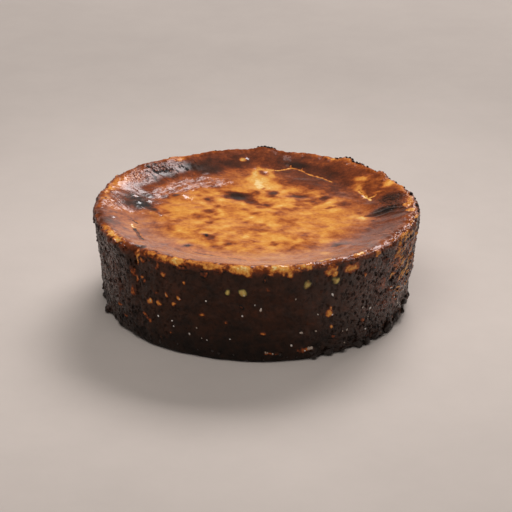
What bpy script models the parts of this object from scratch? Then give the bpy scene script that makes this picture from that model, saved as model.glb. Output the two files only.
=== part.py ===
"""A whole basque cheesecake with a burnt top, as one closed solid.

The profile is turned round the upright axis, and the turned mesh is then given
its relief: the creases that crumpled baking paper pressed into the wall, the
lip and the notch at the front left of the rim, the crags along the rim, the
sunken middle with its blisters, and the black crags round the foot.

Units are metres, +Z is up and the origin is the middle of the underside. A
bearing is an angle round the cake in degrees: 0 is the front (-Y), +90 is the
right (+X) and 180 is the back.
"""

import math
import random

import bpy
from mathutils import Vector, noise

NAME = "basque_cheesecake"
MM = 0.001

# Driving dimensions.
RIM_RADIUS = 98.2 * MM
FOOT_RADIUS = 92.2 * MM
RIM_HEIGHT = 61.8 * MM
RIM_ROUND = 3.6 * MM
FOOT_ROUND = 3.0 * MM
CREASE_RADIUS = 74.5 * MM  # where the sunken middle meets the rim's inner slope
CREASE_DROP = 6.5 * MM  # from the rim down to the crease
MIDDLE_DIP = 0.8 * MM  # from the crease down to the centre
RIM_TILT = 1.7 * MM  # the front of the rim is this much high, the back this much low

# Worked out from them.
CREASE_HEIGHT = RIM_HEIGHT - CREASE_DROP
TAPER = math.degrees(math.atan2(RIM_RADIUS - FOOT_RADIUS, RIM_HEIGHT - RIM_ROUND - FOOT_ROUND))

# How finely the cake is turned: steps round it, and bands along each stretch of the profile.
STEPS = 144
MIDDLE_BANDS = 8
SLOPE_BANDS = 6
RIM_BANDS = 4
WALL_BANDS = 13
FOOT_BANDS = 3
UNDERSIDE_BANDS = 2
MIDDLE_SPREAD = 0.8  # under 1 sets the middle's rings closer together towards the crease
SLOPE_STRAIGHTNESS = 0.5  # the rest of the inner slope rolls over into the rim
MERGE = 0.05 * MM

# The outline's slow swells: waves round the cake, height in millimetres, bearing of a peak.
OUTLINE_SWELLS = ((2, 0.35, 70), (3, 0.30, -50), (5, 0.25, 20), (8, 0.20, 8))
# Where the whole wall stands further out: bearing, half width in degrees, millimetres.
WALL_BULGES = ((92, 28, 1.2), (-110, 18, 1.0))
WALL_WAVE = 0.8 * MM
WALL_WAVE_WIDTH = 17 * MM
WALL_WAVE_LENGTH = 48 * MM
CRUST_KNOB = 0.55 * MM
CRUST_KNOB_WIDTH = 8.5 * MM

# Paper creases: bearing at the rim, depth and half width in millimetres, height
# where it runs out, and how far its foot leans round the cake in degrees.
PAPER_CREASES = (
    (-46.5, 4.0, 3.2, 18, 3),
    (62, 1.3, 4.0, 8, -12),
    (80, 1.2, 4.0, 14, -15),
    (118, 1.8, 4.0, 6, -5),
    (168, 2.0, 4.5, 12, 6),
    (-152, 1.5, 4.0, 4, 5),
    (-104, 1.2, 3.6, 20, -4),
)

# The rim's rises and dips: bearing, half width in degrees, rise in millimetres.
RIM_RISES = (
    (-125, 14, 0.5),
    (-157, 7, -0.5),
    (-168, 6, 0.3),
    (176, 5, 1.6),
    (162, 7, -0.3),
    (142, 4, 1.6),
    (132, 4, 0.9),
    (122, 4, 1.8),
    (100, 14, 0.4),
    (-46, 4, -2.2),
)

# The lip that stands out of the rim at the front left.
LIP_BEARING = -57
LIP_HALF_WIDTH = 8.5
LIP_OUT = 2.3 * MM
LIP_HEIGHT = 58 * MM
LIP_HALF_HEIGHT = 6 * MM

# Relief of the top: millimetres from the centre to the right and to the back,
# half width and rise.
TOP_BLISTERS = (
    (-72, 10, 7, 1.8),
    (-62, 1, 5, 0.9),
    (79, 4, 8, 1.3),
    (72, 14, 5, 0.8),
    (-10, 30, 8, -0.7),
    (-45, 28, 5, 0.6),
    (4, 70, 4, 0.7),
    (27, 32, 7, -0.5),
    (50, -48, 5, 0.7),
    (-62, 58, 10, 0.8),
)
MIDDLE_WAVE = 0.6 * MM
MIDDLE_WAVE_WIDTH = 24 * MM
CREASE_GROOVE = 0.7 * MM
CREASE_GROOVE_HALF_WIDTH = 2.2 * MM
RIM_WAVE = 0.35 * MM
RIM_WAVE_WIDTH = 11 * MM

# Crags round the foot: bearing, height, half width and how far it stands out, in
# millimetres. Those at the front right and left are the ones that show.
SHOWN_CRAGS = (
    (22, 3, 3.4, 1.6),
    (33, 4, 3.2, 1.8),
    (44, 3, 3.8, 2.4),
    (52, 4, 3.4, 2.6),
    (60, 4, 3.8, 2.8),
    (70, 5, 3.4, 2.4),
    (78, 9, 3.0, 2.2),
    (-73, 2, 3.8, 3.0),
    (-79, 13, 3.0, 1.6),
    (-60, 3, 3.2, 1.2),
)
HIDDEN_CRAGS = 26
HIDDEN_CRAGS_FROM = 88
HIDDEN_CRAGS_TO = 272
CRAG_SPREAD = (0.1, 0.9)  # where a hidden crag may lie within its share of the way round
CRAG_HEIGHTS = (2, 7)
CRAG_HALF_WIDTHS = (2.8, 4)
CRAG_STANDS = (0.8, 2.8)
CRAG_SEED = 7

# Inside this radius nothing moves outwards, so the underside and the middle stay even.
STILL_RADIUS = 54 * MM

CRUST_COLOUR = (0.19, 0.055, 0.018, 1)
CRUST_ROUGHNESS = 0.4


def clear_scene():
    """Leaves nothing in the file but what this script makes."""
    for thing in list(bpy.data.objects):
        bpy.data.objects.remove(thing)


def smooth(value, low=0.0, high=1.0):
    """0 below low, 1 above high and an even curve between them."""
    share = min(max((value - low) / (high - low), 0.0), 1.0)
    return share * share * (3 - 2 * share)


def hump(distance, half_width):
    """1 at no distance, falling away evenly on both sides."""
    return math.exp(-((distance / half_width) ** 2))


def bearing_gap(bearing, other):
    """Degrees from one bearing to another, the short way round."""
    return (bearing - other + 180) % 360 - 180


def arc(centre, radius, first, last, bands):
    """An arc of the profile, from its first angle and without its last point."""
    points = []
    for band in range(bands):
        angle = math.radians(first + (last - first) * band / bands)
        points.append(centre + radius * Vector((math.cos(angle), 0, math.sin(angle))))
    return points


def straight(start, end, bands):
    """A straight stretch of the profile, without its last point."""
    return [start.lerp(end, band / bands) for band in range(bands)]


def middle_profile():
    """The sunken middle, from the centre out to the crease."""
    points = []
    for band in range(MIDDLE_BANDS):
        share = (band / MIDDLE_BANDS) ** MIDDLE_SPREAD
        height = CREASE_HEIGHT - MIDDLE_DIP * (1 - share * share)
        points.append(Vector((CREASE_RADIUS * share, 0, height)))
    return points


def slope_profile():
    """The rim's inner slope, from the crease up to the crest."""
    points = []
    for band in range(SLOPE_BANDS):
        share = band / SLOPE_BANDS
        rolled = math.sin(share * math.pi / 2)
        climb = SLOPE_STRAIGHTNESS * share + (1 - SLOPE_STRAIGHTNESS) * rolled
        radius = CREASE_RADIUS + share * (RIM_RADIUS - RIM_ROUND - CREASE_RADIUS)
        points.append(Vector((radius, 0, CREASE_HEIGHT + CREASE_DROP * climb)))
    return points


def cake_profile():
    """The whole profile, from the centre of the top down the wall to the centre of the underside."""
    rim_centre = Vector((RIM_RADIUS - RIM_ROUND, 0, RIM_HEIGHT - RIM_ROUND))
    foot_centre = Vector((FOOT_RADIUS - FOOT_ROUND, 0, FOOT_ROUND))
    rim = arc(rim_centre, RIM_ROUND, 90, -TAPER, RIM_BANDS)
    foot = arc(foot_centre, FOOT_ROUND, -TAPER, -90, FOOT_BANDS)
    wall_top = arc(rim_centre, RIM_ROUND, -TAPER, -90, 1)[0]
    foot_edge = foot_centre - Vector((0, 0, FOOT_ROUND))
    points = middle_profile() + slope_profile() + rim
    points += straight(wall_top, foot[0], WALL_BANDS) + foot
    points += straight(foot_edge, Vector(), UNDERSIDE_BANDS)
    return points + [Vector()]


def turned_cake(points):
    """The profile turned into a closed mesh."""
    mesh = bpy.data.meshes.new("profile")
    mesh.from_pydata(points, [(i, i + 1) for i in range(len(points) - 1)], [])
    profile = bpy.data.objects.new("profile", mesh)
    bpy.context.scene.collection.objects.link(profile)
    screw = profile.modifiers.new("turn", "SCREW")
    screw.axis = "Z"
    screw.angle = math.tau
    screw.steps = STEPS
    screw.render_steps = STEPS
    screw.use_merge_vertices = True
    screw.merge_threshold = MERGE
    evaluated = profile.evaluated_get(bpy.context.evaluated_depsgraph_get())
    turned = bpy.data.meshes.new_from_object(evaluated)
    bpy.data.objects.remove(profile)
    return turned


def foot_crags():
    """Every crag round the foot: those that show, then the rest by a seeded draw."""
    draw = random.Random(CRAG_SEED)
    crags = list(SHOWN_CRAGS)
    spacing = (HIDDEN_CRAGS_TO - HIDDEN_CRAGS_FROM) / HIDDEN_CRAGS
    for number in range(HIDDEN_CRAGS):
        bearing = HIDDEN_CRAGS_FROM + spacing * (number + draw.uniform(*CRAG_SPREAD))
        height = draw.uniform(*CRAG_HEIGHTS)
        half_width = draw.uniform(*CRAG_HALF_WIDTHS)
        crags.append((bearing, height, half_width, draw.uniform(*CRAG_STANDS)))
    return crags


CRAGS = foot_crags()


def outline_swell(bearing):
    """How far the whole outline swells at a bearing."""
    swell = 0
    for waves, out, peak in OUTLINE_SWELLS:
        swell += out * MM * math.cos(math.radians(waves * (bearing - peak)))
    for at, half_width, out in WALL_BULGES:
        swell += out * MM * hump(bearing_gap(bearing, at), half_width)
    return swell


def paper_crease_depth(height, bearing):
    """How deep the paper's creases are pressed into the wall."""
    depth = 0
    for at, deep, half_width, run_out, lean in PAPER_CREASES:
        fall = 1 - height / RIM_HEIGHT
        aside = math.radians(bearing_gap(bearing, at + lean * fall)) * RIM_RADIUS
        fade = smooth(height, run_out * MM, RIM_HEIGHT)
        depth += deep * MM * fade * hump(aside, half_width * MM)
    return depth


def lip_out(height, bearing):
    """How far the lip at the front left stands out of the wall."""
    along = hump(bearing_gap(bearing, LIP_BEARING), LIP_HALF_WIDTH)
    return LIP_OUT * along * hump(height - LIP_HEIGHT, LIP_HALF_HEIGHT)


def crag_out(height, bearing):
    """How far the foot's crags stand out of the wall."""
    out = 0
    for at, up, half_width, proud in CRAGS:
        aside = math.radians(bearing_gap(bearing, at)) * FOOT_RADIUS
        out += proud * MM * hump(math.hypot(aside, height - up * MM), half_width * MM)
    return out


def wall_noise(height, bearing, width, length):
    """Even noise over the wall, in patches of the given width and length."""
    angle = math.radians(bearing)
    spot = Vector((math.sin(angle), math.cos(angle), 0)) * (RIM_RADIUS / width)
    spot.z = height / length
    return noise.noise(spot)


def wall_wave(height, bearing):
    """The wall's slow unevenness, drawn out upright as the paper's folds are, and its knobs."""
    slow = WALL_WAVE * wall_noise(height, bearing, WALL_WAVE_WIDTH, WALL_WAVE_LENGTH)
    return slow + CRUST_KNOB * wall_noise(height, bearing, CRUST_KNOB_WIDTH, CRUST_KNOB_WIDTH)


def outward_relief(height, bearing):
    """How far a point of the rim, wall or foot moves out from the turned shape."""
    out = outline_swell(bearing) + wall_wave(height, bearing) + lip_out(height, bearing)
    return out + crag_out(height, bearing) - paper_crease_depth(height, bearing)


def rim_rise(bearing):
    """How far the rim rises at a bearing, without its tilt."""
    rise = RIM_WAVE * wall_noise(0, bearing, RIM_WAVE_WIDTH, RIM_WAVE_WIDTH)
    for at, half_width, high in RIM_RISES:
        rise += high * MM * hump(bearing_gap(bearing, at), half_width)
    return rise


def middle_relief(right, back):
    """Blisters, sunken spots and slow unevenness of the top."""
    spot = Vector((right, back, 0)) / MIDDLE_WAVE_WIDTH
    rise = MIDDLE_WAVE * noise.noise(spot)
    for at_right, at_back, half_width, high in TOP_BLISTERS:
        distance = math.hypot(right - at_right * MM, back - at_back * MM)
        rise += high * MM * hump(distance, half_width * MM)
    return rise


def upward_relief(radius, bearing):
    """How far a point of the top moves up from the turned shape."""
    angle = math.radians(bearing)
    tilt = RIM_TILT * math.cos(angle) * radius / RIM_RADIUS
    rim_share = smooth(radius, CREASE_RADIUS, RIM_RADIUS - RIM_ROUND)
    rim = rim_share * rim_rise(bearing)
    middle = (1 - rim_share) * middle_relief(radius * math.sin(angle), -radius * math.cos(angle))
    groove = CREASE_GROOVE * hump(radius - CREASE_RADIUS, CREASE_GROOVE_HALF_WIDTH)
    return tilt + rim + middle - groove


def relieved(point):
    """A point of the turned shape, moved to where the relief puts it."""
    radius = math.hypot(point.x, point.y)
    bearing = math.degrees(math.atan2(point.x, -point.y))
    outer_share = smooth(radius, STILL_RADIUS, FOOT_RADIUS - FOOT_ROUND)
    upper_share = min(point.z / CREASE_HEIGHT, 1) ** 2
    moved_radius = radius + outer_share * outward_relief(point.z, bearing)
    moved_height = point.z + upper_share * upward_relief(radius, bearing)
    angle = math.radians(bearing)
    return Vector((moved_radius * math.sin(angle), -moved_radius * math.cos(angle), moved_height))


def crust_material():
    """Dark baked crust, slightly glossy."""
    material = bpy.data.materials.new("baked_crust")
    material.use_nodes = True
    shader = material.node_tree.nodes["Principled BSDF"]
    shader.inputs["Base Color"].default_value = CRUST_COLOUR
    shader.inputs["Roughness"].default_value = CRUST_ROUGHNESS
    shader.inputs["Metallic"].default_value = 0
    return material


def make_cake():
    """The finished cake, in a collection of its own."""
    mesh = turned_cake(cake_profile())
    mesh.name = NAME
    for vertex in mesh.vertices:
        vertex.co = relieved(vertex.co)
    mesh.shade_smooth()
    mesh.materials.append(crust_material())
    collection = bpy.data.collections.new(NAME)
    bpy.context.scene.collection.children.link(collection)
    cake = bpy.data.objects.new(NAME, mesh)
    collection.objects.link(cake)
    return cake


clear_scene()
make_cake()
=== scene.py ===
"""The looks of a whole basque cheesecake with a burnt top.

One closed crust, turned from the solid's own profile and given the same relief,
carries the fine surface: the leathery pits and strands of the wall, the ragged
rim, the skin of the sunken middle with its cracks, blisters and wrinkles. How
brown each spot is, how much it shines and how wrinkled it is are worked out
once, from named marks and seeded noise, and the crust's material reads them.
Small glossy beads, painted pale as glints, and charred nodules are pieces of their own.

Lengths are millimetres until a mesh is made. A bearing is an angle round the
cake in degrees: 0 is the front (-Y), +90 is the right (+X), 180 is the back.
On the top a spot is millimetres to the right and to the back of the centre.
Browning runs from 0, pale batter, to 1, black char.
"""

import math
import random
from types import SimpleNamespace

import bmesh
import bpy
import numpy as np
from mathutils import Matrix, Quaternion, Vector, noise
from mathutils.bvhtree import BVHTree


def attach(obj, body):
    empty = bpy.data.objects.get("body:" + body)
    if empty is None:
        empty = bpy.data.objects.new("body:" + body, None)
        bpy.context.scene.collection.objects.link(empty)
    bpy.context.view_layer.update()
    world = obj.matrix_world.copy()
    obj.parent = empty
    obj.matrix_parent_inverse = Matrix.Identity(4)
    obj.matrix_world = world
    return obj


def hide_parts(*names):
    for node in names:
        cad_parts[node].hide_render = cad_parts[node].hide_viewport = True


MM = 0.001
NODE = "basque_cheesecake"

# ------------------------------------
# The solid's form, in its own named sizes.

RIM_RADIUS = 98.2
FOOT_RADIUS = 92.2
RIM_HEIGHT = 61.8
RIM_ROUND = 3.6
FOOT_ROUND = 3.0
CREASE_RADIUS = 74.5
CREASE_DROP = 6.5
MIDDLE_DIP = 0.8
RIM_TILT = 1.7
SLOPE_STRAIGHTNESS = 0.5
STILL_RADIUS = 54
CREASE_HEIGHT = RIM_HEIGHT - CREASE_DROP
CREST_RADIUS = RIM_RADIUS - RIM_ROUND
# The rounded edges of the rim and the foot: their centre's radius and height, and their own radius.
RIM_EDGE = (CREST_RADIUS, RIM_HEIGHT - RIM_ROUND, RIM_ROUND)
FOOT_EDGE = (FOOT_RADIUS - FOOT_ROUND, FOOT_ROUND, FOOT_ROUND)
TAPER = math.degrees(math.atan2(RIM_RADIUS - FOOT_RADIUS, RIM_HEIGHT - RIM_ROUND - FOOT_ROUND))

# Waves round the outline, height, bearing of a peak.
OUTLINE_SWELLS = ((2, 0.35, 70), (3, 0.30, -50), (5, 0.25, 20), (8, 0.20, 8))
# Bearing, half width in degrees, how far the wall stands out.
WALL_BULGES = ((92, 28, 1.2), (-110, 18, 1.0))
WALL_WAVE = 0.8
WALL_WAVE_WIDTH = 17
WALL_WAVE_LENGTH = 48
CRUST_KNOB = 0.55
CRUST_KNOB_WIDTH = 8.5

# Bearing at the rim, depth, half width, height where it runs out, lean of its foot in degrees.
PAPER_CREASES = (
    (-46.5, 4, 3.2, 18, 3), (62, 1.3, 4, 8, -12), (80, 1.2, 4, 14, -15), (118, 1.8, 4, 6, -5),
    (168, 2, 4.5, 12, 6), (-152, 1.5, 4, 4, 5), (-104, 1.2, 3.6, 20, -4),
)

# Bearing, half width in degrees, rise.
RIM_RISES = (
    (-125, 14, 0.5), (-157, 7, -0.5), (-168, 6, 0.3), (176, 5, 1.6), (162, 7, -0.3), (142, 4, 1.6),
    (132, 4, 0.9), (122, 4, 1.8), (100, 14, 0.4), (-46, 4, -2.2),
)
RIM_WAVE = 0.35
RIM_WAVE_WIDTH = 11

LIP_BEARING = -57
LIP_HALF_WIDTH = 8.5
LIP_OUT = 2.3
LIP_HEIGHT = 58
LIP_HALF_HEIGHT = 6

# Right, back, half width, rise.
TOP_BLISTERS = (
    (-72, 10, 7, 1.8), (-62, 1, 5, 0.9), (79, 4, 8, 1.3), (72, 14, 5, 0.8), (-10, 30, 8, -0.7),
    (-45, 28, 5, 0.6), (4, 70, 4, 0.7), (27, 32, 7, -0.5), (50, -48, 5, 0.7), (-62, 58, 10, 0.8),
)
MIDDLE_WAVE = 0.6
MIDDLE_WAVE_WIDTH = 24
CREASE_GROOVE = 0.7
CREASE_GROOVE_HALF_WIDTH = 2.2
# The crease is rolled smooth over this reach on both sides, by these shares and weights.
CREASE_ROLL_REACH = 9
CREASE_ROLL = ((-1, 0.25), (-0.67, 0.6), (-0.33, 0.9), (0, 1), (0.33, 0.9), (0.67, 0.6), (1, 0.25))
# The groove shows at the front only: bearing, share.
GROOVE_ROUND = ((-180, 0), (-60, 0.1), (-50, 0.6), (0, 0.8), (30, 0.5), (50, 0.1), (180, 0))

# Bearing, height, half width, how far it stands out.
SHOWN_CRAGS = (
    (22, 3, 3.4, 1.6), (33, 4, 3.2, 1.8), (44, 3, 3.8, 2.4), (52, 4, 3.4, 2.6), (60, 4, 3.8, 2.8),
    (70, 5, 3.4, 2.4), (78, 9, 3, 2.2), (-73, 2, 3.8, 3), (-79, 13, 3, 1.6), (-60, 3, 3.2, 1.2),
)
HIDDEN_CRAGS = 26
HIDDEN_CRAGS_FROM = 88
HIDDEN_CRAGS_TO = 272
CRAG_SPREAD = (0.1, 0.9)
CRAG_HEIGHTS = (2, 7)
CRAG_HALF_WIDTHS = (2.8, 4)
CRAG_STANDS = (0.8, 2.8)
CRAG_SEED = 7

# ------------------------------------
# How finely the crust is turned: steps round it in each zone, and bands along it.

WALL_STEPS = 720
# From one radius to another: in how many bands and steps.
TOP_ZONES = (
    (0, 15, 12, 90),
    (15, 30, 14, 180),
    (30, CREASE_RADIUS, 40, 360),
    (CREASE_RADIUS, CREST_RADIUS, 22, WALL_STEPS),
)
RIM_BANDS = 7
WALL_BANDS = 66
FOOT_BANDS = 5
UNDERSIDE_RINGS = ((84, 720), (70, 360), (44, 180), (18, 90))

# ------------------------------------
# The wall's fine relief.

PIT_WIDTH = 3.1
PIT_TALL = 3.8
PIT_DEPTH = 0.9
# Of a cell: where a pit's floor ends and where its edge does; how far the ridges reach between the pits.
PIT_REACH = (0.16, 0.40)
RIDGE_NET = 0.22
RIDGE_NET_REACH = (0, 0.4)
# How far the cells drift, the size of that noise and its seeds along the three axes.
PIT_DRIFT = 0.35
PIT_DRIFT_SIZE = 3.1
PIT_DRIFT_SEEDS = (11, 12, 13)
# The pits come in patches: the noise's size and seed, and the noise where they start and are full.
PIT_PATCHES = (5, 21, -0.35, 0)
# How much painted shade darkens the pits of the wall.
PIT_SHADE = 0.35
STRINGY_FEWER_PITS = 0.8
LEAST_LEATHER = 0.01
# The fine relief dies out towards the underside.
FOOT_SMOOTH_HEIGHTS = (0, 2.5)
# Leather starts above the foot's edge and ends where the rim turns inwards; strings start higher.
LEATHER_HEIGHTS = (0, 2)
LEATHER_MOST_UP = 0.75
STRINGY_HEIGHTS = (12, 26)
STRAND_WIDTH = 15
STRAND_TALL = 5.2
STRAND_CLIMB = 0.2
STRAND_OUT = 1.0
STRAND_BROWNING = 0.50
STRAND_SEED = 23
STRAND_UNEVEN = ((0.2, 3.4, 24),)
STRAND_SHARPNESS = 4
STRAND_EDGE = (0.25, 0.75)
GROOVE_EDGE = (0, 0.4)
# Fine strands: how far they are drawn out, and the turn of that direction.
STRAND_LENGTH = 5.0
STRAND_TURN = (0, -8, 72)
# How much painted shade darkens the grooves between the strands.
GROOVE_SHADE = 0.5
# Lumps and grit, as layers of noise: how far out, the size of their patches, seed.
LUMPS = ((0.7, 5.5, 25),)
LEAST_LUMPY = 0.35
GRIT = ((0.22, 1.9, 26),)
# Round the wall: bearing, how leathery it is, how stringy, how much it shines, how much paler its colour is
# (a painted sheen on the sides).
WALL_ROUND = (
    (-180, 0.8, 0.3, 0.3, 0.02), (-140, 0.7, 0.3, 0.35, 0.02), (-110, 1, 0.2, 0.66, 0.03),
    (-60, 1, 0, 0.8, 0.04), (-48, 0.8, 0, 0.45, 0.01), (-36, 0.5, 0, 0.3, 0), (-20, 0.25, 0, 0.25, 0),
    (12, 0.2, 0, 0.25, 0), (28, 0.5, 0, 0.45, 0.01), (42, 0.9, 0, 0.78, 0.04), (54, 1, 0.3, 0.95, 0.06),
    (66, 1, 1, 1, 0.1), (102, 1, 1, 1, 0.08), (130, 0.8, 0.4, 0.5, 0.02), (180, 0.8, 0.3, 0.3, 0.02),
)
# The rim's outer edge crumbles: bearing, share; and how far, as layers of noise, and where it starts.
RIM_CRUMBLE_ROUND = (
    (-180, 0.7), (-110, 0.7), (-66, 0.5), (-50, 0.9), (-36, 0.5), (-20, 0.4), (28, 0.4), (44, 0.9),
    (70, 1.1), (110, 1), (150, 0.9), (180, 0.7),
)
RIM_CRUMBLE = ((0.9, 3.8, 27), (0.6, 1.9, 27))
CRUMBLE_RADII = (88, 94)
CRUMBLE_HEIGHTS = (51, 58)
# The skin's fine unevenness, as layers of noise, and its wrinkles: the noise's size and seed.
SKIN_UNEVEN = ((0.12, 5, 31), (0.07, 2.6, 32))
WRINKLE_PATCHES = (3.2, 33)
WRINKLE_DEPTH = 0.35
# Folds and cracks spread this much past their half width.
LINE_SPREAD = 1.2
# Raised folds of the skin: half width, height, the spots that they run through.
FOLDS = (
    (0.8, 0.55, ((-91, 6), (-87, 1), (-83, -2))), (0.8, 0.6, ((-88, 10), (-84, 5), (-80, 1))),
    (0.7, 0.45, ((-90, 16), (-86, 12), (-82, 8))), (0.9, 0.5, ((-84, 17), (-79, 13), (-76, 8))),
    (0.8, 0.45, ((-70, -2), (-65, 2), (-61, 5))), (0.8, 0.45, ((-61, -5), (-57, -4), (-53, -7))),
    (0.8, 0.4, ((-67, 16), (-62, 14), (-58, 16))), (0.9, 0.4, ((73, -1), (80, 1), (88, 0))),
    (0.8, 0.35, ((76, 5), (82, 6), (89, 4))), (0.7, 0.35, ((74, -6), (81, -4), (88, -6))),
)

# ------------------------------------
# Browning and its marks: the top, round the cake at four distances from its centre, and the wall.

DISC_BROWNING = 0.315
DISC_EDGE = 50
RING_RADII = (66, 80, 90, 96)
# Bearing, browning at each of the four rings.
RINGS_ROUND = (
    (-180, 0.5, 0.68, 0.62, 0.6), (-170, 0.5, 0.84, 0.7, 0.62), (-160, 0.58, 0.86, 0.72, 0.58),
    (-150, 0.64, 0.88, 0.74, 0.44), (-140, 0.57, 0.76, 0.72, 0.52), (-130, 0.56, 0.76, 0.7, 0.62),
    (-120, 0.52, 0.7, 0.58, 0.6), (-112, 0.5, 0.6, 0.42, 0.56), (-105, 0.47, 0.62, 0.42, 0.52),
    (-98, 0.45, 0.58, 0.46, 0.54), (-90, 0.45, 0.52, 0.52, 0.56), (-84, 0.45, 0.52, 0.58, 0.68),
    (-77, 0.45, 0.52, 0.62, 0.76), (-70, 0.45, 0.5, 0.58, 0.72), (-64, 0.45, 0.5, 0.56, 0.6),
    (-56, 0.45, 0.52, 0.56, 0.6), (-51, 0.45, 0.55, 0.58, 0.64), (-47, 0.46, 0.56, 0.62, 0.74),
    (-43, 0.46, 0.56, 0.62, 0.76), (-39, 0.46, 0.54, 0.48, 0.56), (-33, 0.46, 0.52, 0.48, 0.54),
    (-28, 0.46, 0.5, 0.45, 0.5), (-24, 0.46, 0.5, 0.6, 0.66), (-20, 0.46, 0.48, 0.54, 0.62),
    (-14, 0.45, 0.46, 0.46, 0.46), (-9, 0.44, 0.45, 0.44, 0.44), (0, 0.44, 0.44, 0.42, 0.42),
    (10, 0.44, 0.44, 0.42, 0.44), (14, 0.44, 0.44, 0.46, 0.6), (22, 0.45, 0.45, 0.42, 0.48),
    (28, 0.46, 0.5, 0.54, 0.56), (38, 0.47, 0.57, 0.6, 0.58), (48, 0.5, 0.6, 0.62, 0.62),
    (60, 0.52, 0.63, 0.64, 0.62), (72, 0.5, 0.64, 0.64, 0.6), (80, 0.44, 0.7, 0.66, 0.56),
    (88, 0.42, 0.86, 0.78, 0.54), (96, 0.48, 0.78, 0.72, 0.46), (104, 0.56, 0.7, 0.66, 0.5),
    (112, 0.6, 0.62, 0.62, 0.54), (120, 0.62, 0.64, 0.64, 0.56), (128, 0.64, 0.66, 0.64, 0.54),
    (136, 0.65, 0.7, 0.62, 0.52), (144, 0.67, 0.77, 0.62, 0.42), (152, 0.68, 0.82, 0.66, 0.42),
    (160, 0.66, 0.8, 0.74, 0.58), (170, 0.58, 0.73, 0.68, 0.62), (180, 0.5, 0.68, 0.62, 0.6),
)
# Height, browning of the wall.
WALL_BROWNING = (
    (0, 0.965), (8, 0.95), (20, 0.905), (34, 0.88), (54, 0.885), (58, 0.89), (59.2, 0.78), (61, 0.68),
)
# How the rings turn and wander, by noise: in degrees; in mm, near the middle and near the crest.
RING_TURN = ((6, 14, 41),)
RING_WANDER = (6, 1.5)
RING_WANDER_RADII = (84, 92)
RING_WANDER_PATCHES = (10, 42)
# Mottles, as layers of noise: how much they brown, their size, seed; where they fade and how many stay.
MOTTLES = ((0.17, 13, 43), (0.23, 7, 43), (0.16, 4, 43))
MOTTLES_FADE = (56, 74)
MOTTLES_LEAST = 0.35
WALL_MOTTLES = ((0.03, 16, 51), (0.045, 5, 51), (0.03, 2.4, 51))
# Brown freckles over the middle, in such patches, and how far out they go.
FRECKLE_PATCHES = (6.2, 44, -0.05, 0.5)
FRECKLE_RADII = (50, 66)
FRECKLE_BROWNING = 0.22
# Brown patches high on the wall, and the height where the strands are golden, in patches too.
HIGH_BROWN_HEIGHTS = (54, 60)
HIGH_BROWN_PATCHES = (5.5, 52, 0.05, 0.3)
HIGH_BROWNING = 0.66
HIGH_BROWN_SHARE = 0.6
GOLDEN_HEIGHTS = (16, 38)
GOLDEN_PATCHES = (8, 53, -0.15, 0.25)

# Soft washes over the top: right, back, half length, half width, turn in degrees, browning, strength.
WASHES = (
    (36, 58, 30, 15, -30, 0.73, 0.85), (20, 72, 14, 6, 0, 0.7, 0.7), (-38, 52, 24, 15, 35, 0.58, 0.7),
    (-14, 62, 9, 10, 0, 0.56, 0.6), (-13, 46, 9, 8, 0, 0.44, 0.7), (40, -12, 24, 16, 0, 0.26, 0.7),
    (-20, -16, 26, 12, 0, 0.3, 0.4), (-48, 4, 10, 16, 0, 0.34, 0.5), (66, 22, 10, 15, 10, 0.6, 0.85),
    (76, -28, 12, 22, -25, 0.68, 0.85), (56, -48, 14, 10, 40, 0.6, 0.6), (0, -66, 46, 8, 0, 0.36, 0.7),
    (-80, 24, 8, 9, 0, 0.66, 0.7), (-72, 15, 12, 14, -20, 0.82, 0.9),
)

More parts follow.
